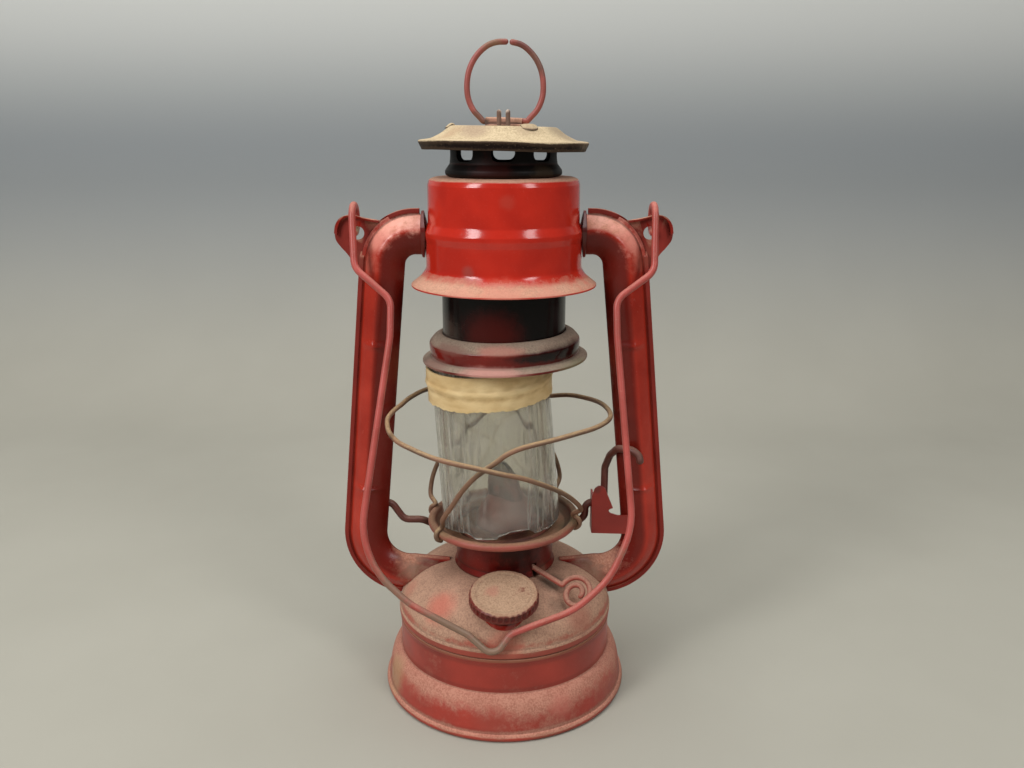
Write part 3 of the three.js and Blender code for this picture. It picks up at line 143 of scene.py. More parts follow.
def build(name, *sheets):
    """One mesh object from closed sheets in millimetres. A sheet is (points, joined_u, joined_v): a grid of points,
    joined end to start in its first or second direction where the flags say so. Open ends in the first
    direction are closed with one face each. Every sheet is turned so that its volume is positive."""
    corners, faces, start = [], [], 0
    for points, joined_u, joined_v in sheets:
        u, v = points.shape[:2]
        number = np.arange(u * v).reshape(u, v)
        a = number if joined_u else number[:-1]
        b = np.roll(number, -1, 0) if joined_u else number[1:]
        if not joined_v:
            a, b = a[:, :-1], b[:, :-1]
        c = np.roll(number, -1, 1)
        c = c if joined_v else c[:, :-1]
        d = np.roll(c, -1, 0)
        c, d = (c, d) if joined_u else (c[:-1], d[:-1])
        quads = np.stack([a, b, d, c], -1).reshape(-1, 4)
        flat = points.reshape(-1, 3)
        p, q, r, s = (flat[quads[:, i]] for i in range(4))
        volume = np.einsum("ij,ij->i", p, np.cross(q, r) + np.cross(r, s)).sum()
        caps = []
        if joined_v and not joined_u:
            caps = [number[0], number[-1][::-1]]
            for cap in caps:
                ring = flat[cap]
                volume += (np.cross(ring[1:-1], ring[2:]) @ ring[0]).sum()
        order = 1 if volume > 0 else -1
        faces += (quads[:, ::order] + start).tolist() + [(cap[::order] + start).tolist() for cap in caps]
        corners.append(flat * mm)
        start += u * v
    mesh = bpy.data.meshes.new(name)
    mesh.from_pydata(np.concatenate(corners), [], faces)
    whole = bmesh.new()
    whole.from_mesh(mesh)
    bmesh.ops.remove_doubles(whole, verts=whole.verts, dist=1e-6)
    bmesh.ops.dissolve_degenerate(whole, edges=whole.edges, dist=1e-7)
    whole.to_mesh(mesh)
    whole.free()
    piece = bpy.data.objects.new(name, mesh)
    bpy.context.scene.collection.objects.link(piece)
    return piece


def finer(points, longest, closed=False):
    """The same path with each run split into equal steps no longer than the length given."""
    ends = np.concatenate([points[1:], points[:1]]) if closed else points[1:]
    starts = points if closed else points[:-1]
    count = np.maximum(1, np.ceil(np.linalg.norm(ends - starts, axis=1) / longest)).astype(int)
    step = np.concatenate([np.arange(n) / n for n in count])[:, None]
    made = np.repeat(starts, count, 0) * (1 - step) + np.repeat(ends, count, 0) * step
    return made if closed else np.concatenate([made, points[-1:]])


def eased(corners, bend, closed=False, turn_step=12):
    """A path of straight runs whose corners are arcs that touch both runs. A point of an arc is its middle plus
    (start sin((1 - s) turn) + end sin(s turn)) / sin(turn), for s from 0 to 1."""
    corners = np.asarray(corners, float)
    count = len(corners)
    bends = np.broadcast_to(bend, count)
    runs = []
    for i, corner in enumerate(corners):
        back, on = corners[i - 1] - corner, corners[(i + 1) % count] - corner
        room_here = 0.49 * min(np.linalg.norm(back), np.linalg.norm(on))
        back, on = back / np.linalg.norm(back), on / np.linalg.norm(on)
        half = math.acos(np.clip(back @ on, -1, 1)) / 2
        if bends[i] <= 0 or half > 1.55 or (not closed and i in (0, count - 1)):
            runs.append(corner[None])
            continue
        radius = min(bends[i], room_here * math.tan(half))
        turn = math.pi - 2 * half
        middle = corner + (back + on) / np.linalg.norm(back + on) * radius / math.sin(half)
        start = corner + back * radius / math.tan(half) - middle
        end = corner + on * radius / math.tan(half) - middle
        s = np.linspace(0, 1, max(2, math.ceil(math.degrees(turn) / turn_step) + 1))[:, None]
        runs.append(middle + (start * np.sin((1 - s) * turn) + end * np.sin(s * turn)) / math.sin(turn))
    return np.concatenate(runs)


def circle(count):
    """A column of angles in radians, evenly round a full turn."""
    return np.linspace(0, 2 * math.pi, count, endpoint=False)[:, None]


def polar(radius, angle, height):
    """Points at a distance from the Z axis, an angle in radians and a height: (r cos a, r sin a, z)."""
    return np.stack(np.broadcast_arrays(radius * np.cos(angle), radius * np.sin(angle), height), -1)


def spun(outline, count=128, closed=True, longest=3.0):
    """A closed (radius, height) outline carried round the Z axis."""
    outline = finer(np.asarray(outline, float), longest, closed)
    return polar(outline[:, 0], circle(count), outline[:, 1]), True, closed


def dress(piece, material, sharp=38):
    """Shades a piece smooth between sharp edges and gives its vertices two numbers: 'up', the height part of the
    normal, and 'bend', the mean over a vertex's edges of -2 normal . edge / length squared, per millimetre, which is
    positive on rims and negative in corners."""
    mesh = piece.data
    mesh.shade_smooth()
    mesh.set_sharp_from_angle(angle=math.radians(sharp))
    count = len(mesh.vertices)
    place, normal = np.empty(3 * count), np.empty(3 * count)
    ends = np.empty(2 * len(mesh.edges), int)
    mesh.vertices.foreach_get("co", place)
    mesh.vertex_normals.foreach_get("vector", normal)
    mesh.edges.foreach_get("vertices", ends)
    place, normal, (a, b) = place.reshape(-1, 3), normal.reshape(-1, 3), ends.reshape(-1, 2).T
    run = place[b] - place[a]
    square = np.maximum((run ** 2).sum(1), 1e-12)
    bend = np.zeros(count)
    shared = np.maximum(np.bincount(ends, minlength=count), 1)
    for near, sign in ((a, -2), (b, 2)):
        bend += np.bincount(near, sign * (normal[near] * run).sum(1) / square, count)
    bend = np.clip(bend / shared * mm, -1, 1)
    for _ in range(2):
        bend = 0.5 * bend + 0.5 * (np.bincount(a, bend[b], count) + np.bincount(b, bend[a], count)) / shared
    for label, values in (("up", normal[:, 2]), ("bend", bend)):
        mesh.attributes.new(label, "FLOAT", "POINT").data.foreach_set("value", values.astype(np.float32))
    mesh.materials.clear()
    mesh.materials.append(material)
    return piece


def enamel(name, paint, shade, dust=("c09a7c", "6b4c3c"), dusty=(0.25, 0.9, 0.8), freckle=0.2, pale="c98274",
           worn=0.5, rust="5a3527", grime_and_shade=0.7, gloss=0.25, film=0.0, painted_inner_shade=None, ragged=1.1, shine=0.5,
           tall=1.0, stains=()):
    """Stove enamel on tinplate, aged. Paint drifts to its shade over 25 mm clouds. Dust lies where the surface faces
    up, from the first value of 'dusty' to the second and at most the third, pale with dark 1 mm crumbs, and a thin
    film of it lies anywhere. 'ragged' is how much 4 mm grain breaks up its border. Freckles are pale specks about
    1 mm across. Rims are rubbed to rust, and corners hold dark grime and painted shade. 'gloss' is the clean paint's
    roughness, and 'shine' the strength of its highlights. Where the vertices carry a number for painted shade, the
    paint goes to that tone as painted shade. A stain is (x, y, z, radius, hex, strength) in mm, and its height is its
    width divided by 'tall'."""
    made = bare_material(name)
    place = add(made, "TexCoord")["Object"]
    up = add(made, "Attribute", attribute_name="up")["Fac"]
    bend = add(made, "Attribute", attribute_name="bend")["Fac"]
    cloud = add(made, "TexNoise", {"Vector": place, "Scale": 40.0, "Detail": 4.0})["Fac"]
    grain = add(made, "TexNoise", {"Vector": place, "Scale": 250.0, "Detail": 8.0, "Roughness": 0.7})["Fac"]
    speck = add(made, "TexNoise", {"Vector": place, "Scale": 1100.0, "Detail": 3.0, "Roughness": 0.6})["Fac"]
    drift = add(made, "MapRange", {"Value": cloud, "From Min": 0.36, "From Max": 0.64})[0]
    flecks = add(made, "MapRange", {"Value": speck, "From Min": 0.6, "From Max": 0.74, "To Max": freckle})[0]
    mottle = add(made, "Math", {0: cloud, 1: grain}, operation="ADD")[0]
    mottle = add(made, "Math", {0: mottle, 1: ragged, 2: -ragged}, operation="MULTIPLY_ADD")[0]
    settled = add(made, "Math", {0: up, 1: mottle}, operation="ADD")[0]
    laid = add(made, "MapRange", {"Value": settled, "From Min": dusty[0], "From Max": dusty[1], "To Min": film,
                                  "To Max": dusty[2]}, interpolation_type="SMOOTHSTEP")[0]
    crumbs = add(made, "Math", {0: speck, 1: 1.6, 2: grain}, operation="MULTIPLY_ADD")[0]
    crumbs = add(made, "MapRange", {"Value": crumbs, "From Min": 1.14, "From Max": 1.6, "To Max": 0.7})[0]
    powder = add(made, "Mix", {0: crumbs, 6: rgb(dust[0]), 7: rgb(dust[1])}, data_type="RGBA")[2]
    rubbed = add(made, "Math", {0: mottle, 1: 0.4, 2: bend}, operation="MULTIPLY_ADD")[0]
    rubbed = add(made, "MapRange", {"Value": rubbed, "From Min": 0.18, "From Max": 0.4, "To Max": worn},
                 interpolation_type="SMOOTHSTEP")[0]
    # Corners darken towards 2e1612, which is dark grime and painted shade.
    corner_grime_and_shade = add(made, "MapRange", {"Value": bend, "From Min": -0.03, "From Max": -0.22, "To Max": grime_and_shade},
                 interpolation_type="SMOOTHSTEP")[0]
    layers = [(drift, rgb(shade)), (flecks, rgb(pale)), (laid, powder)]
    # A tube's inner half takes this tone as painted shade.
    if painted_inner_shade:
        layers.insert(1, (add(made, "Attribute", attribute_name="painted_inner_shade")["Fac"], rgb(painted_inner_shade)))
    squashed = add(made, "Mapping", {"Vector": place, "Scale": (1.0, 1.0, tall)})[0]
    for x, y, z, radius, tone, strength in stains:
        centre = [x * mm, y * mm, z * mm * tall]
        reach = add(made, "VectorMath", {0: squashed, 1: centre}, operation="DISTANCE")["Value"]
        reach = add(made, "Math", {0: mottle, 1: 1.2 * radius * mm, 2: reach}, operation="MULTIPLY_ADD")[0]
        spread = add(made, "MapRange", {"Value": reach, "From Min": radius * mm, "From Max": 0.3 * radius * mm,
                                        "To Max": strength}, interpolation_type="SMOOTHSTEP")[0]
        layers.append((spread, rgb(tone)))
    colour = rgb(paint)
    for share, tone in layers + [(rubbed, rgb(rust)), (corner_grime_and_shade, rgb("2e1612"))]:
        colour = add(made, "Mix", {0: share, 6: colour, 7: tone}, data_type="RGBA")[2]
    rough = add(made, "Math", {0: laid, 1: rubbed}, operation="MAXIMUM")[0]
    rough = add(made, "MapRange", {"Value": rough, "From Max": 0.7, "To Min": gloss, "To Max": 0.88})[0]
    height = add(made, "Math", {0: speck, 1: 0.6, 2: grain}, operation="MULTIPLY_ADD")[0]
    tooth = add(made, "Math", {0: laid, 1: 1.0, 2: 0.04}, operation="MULTIPLY_ADD")[0]
    relief = add(made, "Bump", {"Strength": tooth, "Distance": 0.0003, "Height": height})[0]
    shader = add(made, "BsdfPrincipled", {
        "Base Color": colour, "Roughness": rough, "Specular IOR Level": shine, "Normal": relief})
    add(made, "OutputMaterial", {"Surface": shader[0]})
    return made


band_radius = 58.6
fount_foot = arc((band_radius, 4.2), (7.1, 19), 86, 12, 18)
fount_roll = arc((65.7, 2.1), 2.1, 78, -196, 24)
fount_foot_inside = arc((57.7, 4.2), (6.2, 18.1), 12, 90, 12)
fount_outline = np.concatenate([
    eased([[57.4, 42.5], [58.7, 42.6], [58.95, 42.3], [58.95, 41.2], [band_radius, 40.3], [band_radius, 23.4],
           fount_foot[0]], 0.5),
    fount_foot[1:], fount_roll, fount_foot_inside])
fount_side = dress(build("fount_side_shell", spun(fount_outline, 160)), enamel(
    "dusty_red_enamel_foot", "a83629", "912b20", dust=("c28c76", "955c4a"), dusty=(0.08, 0.45, 0.85), freckle=0.12,
    worn=0.7, rust="8c6048", grime_and_shade=0.25, gloss=0.3, film=0.02, ragged=0.7, stains=[
        (-61, -24, 13, 14, "ab8f68", 0.6), (-6, -66, 12, 13, "9a4a3c", 0.4), (30, -57, 15, 10, "c47464", 0.4)]))
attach(fount_side, "frame")
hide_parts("fount_side")


# Fount top: a drawn tinplate dome whose skirt is folded over the band. Its middle is open for the burner, and the
# filler neck stands over a round hole at the front. Baked dust makes it matte tan, with red and dark oil stains.
def carve(piece, *tools):
    """Cuts other closed pieces out of one and removes them."""
    for tool in tools:
        cutter = piece.modifiers.new("cut", "BOOLEAN")
        cutter.operation, cutter.solver, cutter.object = "DIFFERENCE", "EXACT", tool
    bpy.context.view_layer.update()
    finished = bpy.data.meshes.new_from_object(piece.evaluated_get(bpy.context.evaluated_depsgraph_get()))
    piece.modifiers.clear()
    piece.data = finished
    for tool in tools:
        bpy.data.objects.remove(tool)
    return piece


def moved(sheet, matrix=np.eye(3), at=(0, 0, 0)):
    """A sheet with every point turned by a matrix and then shifted."""
    points, joined_u, joined_v = sheet
    return points @ matrix.T + np.array(at, float), joined_u, joined_v


def turn(axis, angle):
    """The matrix that turns by an angle in degrees about X, Y or Z."""
    return np.array(Matrix.Rotation(math.radians(angle), 3, axis))


def bar(radius, low, high, count=96):
    """A round bar along Z."""
    return spun([[0, low], [radius, low], [radius, high], [0, high]], count, False, 60)


dome_middle, dome_reach = (27, 47), np.array([31.6, 23.3])


def fount_body(margin):
    """The fount as one filled body, grown by a margin, to trim what stands on it."""
    dome = arc(dome_middle, dome_reach + margin, 0, 90, 30)
    return spun(np.concatenate([[[0, 8], [band_radius + margin, 8]], dome, [[0, 70.3 + margin]]]), 120, False, 80)


filler_turn, filler_at = turn("X", 13.2), (0, -44.3, 66.44)
dome_outside = arc(dome_middle, dome_reach, 2, 90, 34)
dome_inside = arc(dome_middle, dome_reach - 0.9, 90, 0, 24)
dome_outline = np.concatenate([
    eased([[57.7, 43.1], [59.0, 43.1], [59.35, 44.0], [59.4, 46.4], [59.05, 47.4], [58.75, 47.9], dome_outside[1]],
          0.6),
    dome_outside[2:], [[19.9, 70.3], [19.9, 69.4]], dome_inside])
fount_top = carve(
    build("fount_top_dome", spun(dome_outline, 160)),
    build("filler_hole", moved(bar(11.2, -30, 30), filler_turn, filler_at)))
dress(fount_top, enamel(
    "dust_caked_red_enamel_dome", "a83527", "8f2a1f", dust=("bd977d", "8c6a57"), dusty=(0.05, 0.32, 0.93),
    freckle=0.15, worn=0.2, rust="9c5a48", grime_and_shade=0.2, gloss=0.42, film=0.08, ragged=0.5, stains=[
        (-33, -38, 60, 13, "c96a58", 0.7), (-50, -14, 58, 9, "b5705c", 0.5), (25, -26, 68, 10, "4a3d30", 0.8),
        (27, -38, 60, 9, "57473a", 0.6), (2, -57, 50, 12, "b5624f", 0.6), (40, -40, 54, 13, "b0604f", 0.45)]))
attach(fount_top, "frame")
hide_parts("fount_top")

# Fount bottom: a flat tinplate disc with a turned-up edge, soldered inside the foot above the rolled rim.
# Only its underside can be seen, dull and stained by damp.
fount_bottom = dress(build("fount_bottom_disc", spun(eased([
    [0, 6], [63.3, 6], [63.3, 7.8], [62.4, 7.8], [62.4, 6.9], [0, 6.9]], 0.5), 128, False)), enamel(
        "red_enamel_underside", "6e1f17", "4f1610", dusty=(0.4, 1.2, 0.6), film=0.35, gloss=0.55))
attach(fount_bottom, "frame")
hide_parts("fount_bottom")

# Filler neck: a tinplate tube with a rolled screw thread of three turns, soldered over the hole in the dome and
# leaning forward. The cap keeps it cleaner than the dome, so its red stays deep and glossy between the threads.
neck_turns = np.linspace(0, 1, 46)
neck_thread = 13.15 + 0.45 * np.cos((3 * 2 * neck_turns + 1) * math.pi) * (neck_turns < 0.99)
neck_outline = np.concatenate([
    [[13.0, -13]], np.stack([neck_thread, -1.0 + 5.4 * neck_turns], -1), eased(
        [[13.0, 4.45], [13.0, 4.6], [12.1, 4.6], [12.1, 4.2]], 0.2)[1:], [[12.1, -13]]])
filler_neck = carve(
    build("filler_neck_tube", moved(spun(neck_outline, 96), filler_turn, filler_at)),
    build("neck_trim", fount_body(0.1)))
dress(filler_neck, enamel("deep_red_enamel_neck", "96241a", "701510", dusty=(0.5, 1.1, 0.4), freckle=0.1, gloss=0.2,
                          worn=0.2, rust="b06a5a"))
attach(filler_neck, "frame")
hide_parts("filler_neck")


# Filler gasket: a ring of cork and rubber, punched from sheet, that the cap presses on the neck and takes along.
# It is matte brown with coarse dark grain.
def simple(name, pale, dark, size, rough, metal=0.0):
    """A plain finish whose colour wanders between two tones over grain of a given size in millimetres."""
    made = bare_material(name)
    place = add(made, "TexCoord")["Object"]
    grain = add(made, "TexNoise", {"Vector": place, "Scale": 1000.0 / size, "Detail": 6.0})["Fac"]
    spread = add(made, "MapRange", {"Value": grain, "From Min": 0.35, "From Max": 0.65})[0]
    colour = add(made, "Mix", {0: spread, 6: rgb(pale), 7: rgb(dark)}, data_type="RGBA")[2]
    tooth = add(made, "Bump", {"Strength": 0.5, "Distance": 0.0002, "Height": grain})[0]
    shader = add(made, "BsdfPrincipled", {
        "Base Color": colour, "Roughness": rough, "Metallic": metal, "Normal": tooth})
    add(made, "OutputMaterial", {"Surface": shader[0]})
    return made


def refinish(node, material):
    """Gives a CAD node a new material."""
    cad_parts[node].data.materials.clear()
    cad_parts[node].data.materials.append(material)


refinish("filler_gasket", simple("cork_and_rubber", "6a5644", "2e2620", 2.0, 0.9))

# Filler cap: a pressed tinplate screw cap with a slightly sunken top and 36 gripping flutes round its skirt.
# Matte tan dust fills the top, the skirt is dark glossy red, and its edges are rubbed to brown.
cap_outline = finer(eased([
    [0, 7.5], [14.4, 7.5], [15.6, 7.8], [16.9, 7.8], [18.1, 6.9], [18.1, 3.0], [17.5, 2.2], [13.9, 2.2], [13.9, 6.6],
    [0, 6.6]], 0.7), 1.2)
cap_reach, cap_rise = cap_outline.T
cap_angle = circle(288)
cap_grip = np.clip((7.3 - cap_rise) / 0.8, 0, 1) * np.clip((cap_rise - 3.4) / 0.8, 0, 1) * (cap_reach > 16.5)
cap_radius = cap_reach - 0.5 * cap_grip * (0.5 - 0.5 * np.cos(36 * cap_angle)) ** 0.7
cap_sheet = (polar(cap_radius, cap_angle, cap_rise), True, False)
filler_cap = dress(build("filler_cap_lid", moved(cap_sheet, filler_turn, filler_at)), enamel(
    "dusty_red_enamel_cap", "64130d", "460c08", dust=("b8977b", "8c6d54"), dusty=(0.6, 0.85, 0.97), freckle=0.1,
    worn=0.25, rust="84493a", gloss=0.2, grime_and_shade=0.12, shine=0.35, stains=[(-6, -45, 74, 5, "b27462", 0.55)]))
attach(filler_cap, "cap")
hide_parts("filler_cap")


# Burner collar: a drawn tinplate neck that stands on the dome round the burner and carries the globe plate.
# A slit at its foot lets the wick spindle out. Its red is painted dark as shade under the plate, and a painted
# shadow of the plate lies on its upper front, with dust at its foot.
def slab(outline, front, back):
    """A flat outline of (x, z) pairs given thickness along Y."""
    rows = [np.insert(np.asarray(outline, float), 1, y, axis=1) for y in (front, back)]
    return np.stack(rows), False, True


def box(low, high):
    """A plain block between two corners, used only to cut."""
    (x0, y0, z0), (x1, y1, z1) = low, high
    return slab([[x0, z0], [x1, z0], [x1, z1], [x0, z1]], y0, y1)


spindle_azimuth = -42
spindle_way = turn("Z", spindle_azimuth)
collar_outline = eased([
    [27.6, 70.6], [27.9, 71.4], [26.7, 74.5], [27.0, 86.2], [27.0, 90.1], [25.2, 90.1], [25.2, 89.2], [26.1, 86.2],
    [25.8, 74.5], [26.4, 70.6]], 1.2, True)
burner_collar = carve(
    build("burner_collar_neck", spun(collar_outline, 128)),
    build("collar_slit", moved(box((0, -6.6, 60.0), (40, -3.4, 78.1)), spindle_way)))
dress(burner_collar, enamel(
    "shaded_red_enamel_collar", "78180f", "58100b", dusty=(0.4, 1.2, 0.6), gloss=0.3, shine=0.25,
    # The large near-black stain is a painted shadow of the globe plate.
    stains=[(22, -20, 72, 8, "8c6a56", 0.5), (9, -27, 85, 22, "2a0b09", 0.88)]))
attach(burner_collar, "frame")
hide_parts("burner_collar")

# Burner seat, air deck, wick tube and wick wheels: brass pressings inside the collar, dulled brown by oil and heat.
# They are seen only through the slit and the burner's slot, so the CAD solids stay and get the metal's finish.
dull_brass = simple("oil_browned_brass", "9a7b45", "5f4a2c", 3.0, 0.42, 1.0)
for node in ("burner_seat", "burner_deck", "wick_tube", "wick_wheel_1", "wick_wheel_2"):
    refinish(node, dull_brass)

# Wick: flat woven cotton tape, 15 mm wide, held in the wick tube. It looks soft and cream, with cords that lie about
# 1 mm apart, and is charred black along its top edge.
cotton = bare_material("charred_cotton_wick")
wick_place = add(cotton, "TexCoord")["Object"]
wick_high = add(cotton, "SeparateXYZ", {0: wick_place})["Z"]
wick_cords = add(cotton, "TexWave", {"Vector": wick_place, "Scale": 160.0, "Distortion": 1.5}, wave_type="BANDS")[0]
wick_burnt = add(cotton, "MapRange", {"Value": wick_high, "From Min": 0.101, "From Max": 0.106})[0]
wick_tone = add(cotton, "Mix", {0: wick_cords, 6: rgb("cdbf9f"), 7: rgb("b5a685")}, data_type="RGBA")[2]
wick_tone = add(cotton, "Mix", {0: wick_burnt, 6: wick_tone, 7: rgb("191512")}, data_type="RGBA")[2]
wick_shader = add(cotton, "BsdfPrincipled", {"Base Color": wick_tone, "Roughness": 0.95, "Specular IOR Level": 0.2})
add(cotton, "OutputMaterial", {"Surface": wick_shader[0]})
refinish("wick", cotton)


# Wick spindle: 2.9 mm steel wire, bent into a flat spiral outside the collar as a thumb wheel, and dipped in red.
# The paint is faded and a little rubbed, and dust sticks to the straight run.
def wire(path, radius, sides=16):
    """A round section carried along a path: path + radius (cos a side + sin a over). The side direction is carried
    from station to station and kept square to the path. Each end is a half ball."""
    path = np.asarray(path, float)
    along = np.gradient(path, axis=0)
    along /= np.linalg.norm(along, axis=1, keepdims=True)
    side = np.empty_like(path)
    last = np.cross(along[0], [0.31, 0.52, 0.79])
    for i, way in enumerate(along):
        last = last - (last @ way) * way
        last = last / np.linalg.norm(last)
        side[i] = last
    over = np.cross(along, side)
    tilt = np.radians([90, 68, 45, 22])
    grow = np.concatenate([np.cos(tilt), np.ones(len(path)), np.cos(tilt[::-1])])
    shift = np.concatenate([-np.sin(tilt), np.zeros(len(path)), np.sin(tilt[::-1])])
    pick = np.concatenate([[0] * 4, np.arange(len(path)), [len(path) - 1] * 4])
    ring = np.cos(circle(sides)) * side[pick][:, None] + np.sin(circle(sides)) * over[pick][:, None]
    middle = path[pick] + radius * shift[:, None] * along[pick]
    points = middle[:, None] + radius * grow[:, None, None] * ring
    points[0], points[-1] = points[0].mean(0), points[-1].mean(0)
    return np.swapaxes(points, 0, 1), True, False


spiral = np.linspace(0, 1, 90)
spiral_angle = math.pi + 2 * math.pi * 1.5 * spiral
spiral_radius = 9.2 * (1 - 0.66 * spiral)
spiral_out = 55.6 + spiral_radius * np.cos(spiral_angle)
spiral_side = -spiral_radius * np.sin(spiral_angle) * math.sin(math.pi / 4)
spindle_path = np.concatenate([[[-8.4, 0, 0], [39, 0, 0]], np.stack([spiral_out, spiral_side, spiral_side], -1)])
spindle_wire = wire(finer(eased(spindle_path, 3), 1.0), 1.45)
spindle_sheet = moved(spindle_wire, spindle_way @ turn("Y", 9.5), (-3.212, -3.567, 79.6))
wick_spindle = dress(build("wick_spindle_wire", spindle_sheet), enamel(
    "rubbed_red_enamel_spindle", "ae4236", "8c2c21", dust=("b58c76", "86604e"), dusty=(0.0, 0.8, 0.8), freckle=0.3,
    worn=0.15, film=0.2, gloss=0.4))
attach(wick_spindle, "spindle")
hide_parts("wick_spindle")


# Side tubes: each is two tinplate halves stamped with two stiffening ribs, laid together and crimped along the outer
# edge, where the back half's hem folds over the front. They carry air down to the burner and hold the canopy up.
# The front faces keep a soft gloss, their inner halves are darkened with painted shade, and dust and a painted
# highlight make the elbows chalky pink. The back halves are a dull dark red, and their ears hold the bail in a
# punched hole.
tube_axis, tube_half_width, splay = 251.6, 10.4, 5.6
elbow_middle, elbow_bend, foot_z, foot_bend = (45.3, 235.7), 15.9, 86.7, 23.7
lean = math.radians(splay)
straight_top = np.array(elbow_middle) + elbow_bend * np.array([math.cos(lean), math.sin(lean)])
straight_foot = foot_z + foot_bend * math.sin(lean)
foot_x = straight_top[0] + (straight_top[1] - straight_foot) * math.tan(lean) - foot_bend * math.cos(lean)
foot_middle = (foot_x, foot_z)


def tube_stations():
    """The centre line's x, z and the angle of the outward normal, with the ribs' rise: an elbow from the canopy, a
    straight run that spreads by the splay, a bend at the foot and a run that falls by 6 degrees."""
    run_z = np.linspace(straight_top[1], straight_foot, 104)[1:-1]
    run_x = straight_top[0] + (straight_top[1] - run_z) * math.tan(lean)
    foot = arc(foot_middle, foot_bend, splay, -96, 34)
    end_x = 29.0
    end_z = foot[-1, 1] - (foot[-1, 0] - end_x) * math.tan(math.radians(6))
    x, z = np.concatenate([[[39.0, tube_axis]], arc(elbow_middle, elbow_bend, 90, splay, 26),
                           np.stack([run_x, run_z], -1), foot, [[end_x, end_z]]]).T
    normal = np.concatenate([
        [90], np.linspace(90, splay, 26), np.full(102, splay), np.linspace(splay, -96, 34), [-96]])
    rib = sum(np.exp(-((z - height) / 1.2) ** 2) * (x > 55) for height in (194.6, 114.8))
    return x, z, np.radians(normal), rib


def lens(share, grow, rib):
    """Half the tube's section at a share u of its half width: the mean of an oval, (1 - u squared) to the power 0.6,
    and of two straight slopes that meet in a soft ridge at u = 0.24, times a depth of 8.5."""
    slopes = np.minimum((1 + share) / 1.24, (1 - share) / 0.76)
    return (8.5 + grow + 1.2 * rib) * (0.55 * np.maximum(1 - share ** 2, 0) ** 0.6 + 0.45 * slopes)


def tube_half(side, sign):
    """A half tube: its section of (across, depth) pairs, the crimp included, carried along the stations. The side is
    -1 in front and 1 behind, and the sign is 1 for the right tube and -1 for the left."""
    x, z, normal, rib = tube_stations()
    share = -np.cos(np.linspace(0, math.pi, 25))
    outer_u, inner_u = tube_half_width * share[:-1], (tube_half_width - 0.9) * share[::-1]
    folded = {
        -1: eased([[10.35, -1.2], [12.1, -1.05], [12.1, -0.15], [9.6, -0.15]], 0.35),
        1: eased([[10.35, 1.2], [13.0, 1.05], [13.0, -2.0], [10.7, -2.0], [10.7, -1.4], [12.4, -1.4], [12.4, 0.15],
                  [9.6, 0.15]], 0.4),
    }[side]
    flat = np.where((folded[:, 1:] < 0) & (side > 0), folded * [1, -0.1] + [0, 0.4], folded)
    rows = []
    for ribbed, way in zip(rib, np.degrees(normal)):
        open_here = np.clip(min((way - 9) / 6, (64 - way) / 6), 0, 1)
        edge = folded + (flat - folded) * open_here
        outer = np.stack([outer_u, side * np.maximum(lens(share[:-1], 0, ribbed), 0.15)], -1)
        inner = np.stack([inner_u, side * np.maximum(lens(share[::-1], -0.9, ribbed), 0.15)], -1)
        keep = np.abs(outer[:, 1]) >= np.where(outer[:, 0] > 0, 1.2, 0)
        rows.append(np.concatenate([np.where(keep[:, None], outer, [10.3, side * 1.2]), edge, inner]))
    u, v = np.moveaxis(np.array(rows), -1, 0)
    across, rise = u * np.cos(normal)[:, None], u * np.sin(normal)[:, None]
    return np.stack([sign * (x[:, None] + across), v, z[:, None] + rise], -1), False, True


def paint_shade_on_inner_half(piece):
    """Gives a tube's vertices a painted-shade number: 0.8 on the half that faces the globe, 0 beyond the soft ridge.
    """
    place = np.empty(3 * len(piece.data.vertices))
    piece.data.vertices.foreach_get("co", place)
    x, _, z = 1000 * np.abs(place.reshape(-1, 3)).T
    across = (x - straight_top[0] - (straight_top[1] - z) * math.tan(lean)) * math.cos(lean)
    for (middle_x, middle_z), bend, there in (
            (elbow_middle, elbow_bend, z > straight_top[1]), (foot_middle, foot_bend, z < straight_foot)):
        across = np.where(there, np.hypot(x - middle_x, z - middle_z) - bend, across)
    s = np.clip((3.2 - across) / 3, 0, 1)
    painted_inner_shade = s * s * (3 - 2 * s) * 0.8
    piece.data.attributes.new("painted_inner_shade", "FLOAT", "POINT").data.foreach_set("value", painted_inner_shade.astype(np.float32))


def through(points, count):
    """A smooth curve through points: cubic pieces with the slope at a point taken from its two neighbours."""
    points = np.asarray(points, float)
    run = np.concatenate([[0], np.cumsum(np.linalg.norm(np.diff(points, axis=0), axis=1))])
    slope = np.gradient(points, run, axis=0)
    at = np.linspace(0, run[-1], count)
    i = np.clip(np.searchsorted(run, at, "right") - 1, 0, len(run) - 2)
    step = (run[i + 1] - run[i])[:, None]
    s = (at - run[i])[:, None] / step
    a, b = points[i], points[i + 1]
    return (a * (1 + 2 * s) * (1 - s) ** 2 + slope[i] * step * s * (1 - s) ** 2
            + b * s ** 2 * (3 - 2 * s) - slope[i + 1] * step * s ** 2 * (1 - s))


def joined(piece, *others):
    """Merges the meshes of other pieces into one and removes them."""
    merged = bmesh.new()
    for part in (piece, *others):
        merged.from_mesh(part.data)
    merged.to_mesh(piece.data)
    merged.free()
    for part in others:
        bpy.data.objects.remove(part)
    return piece


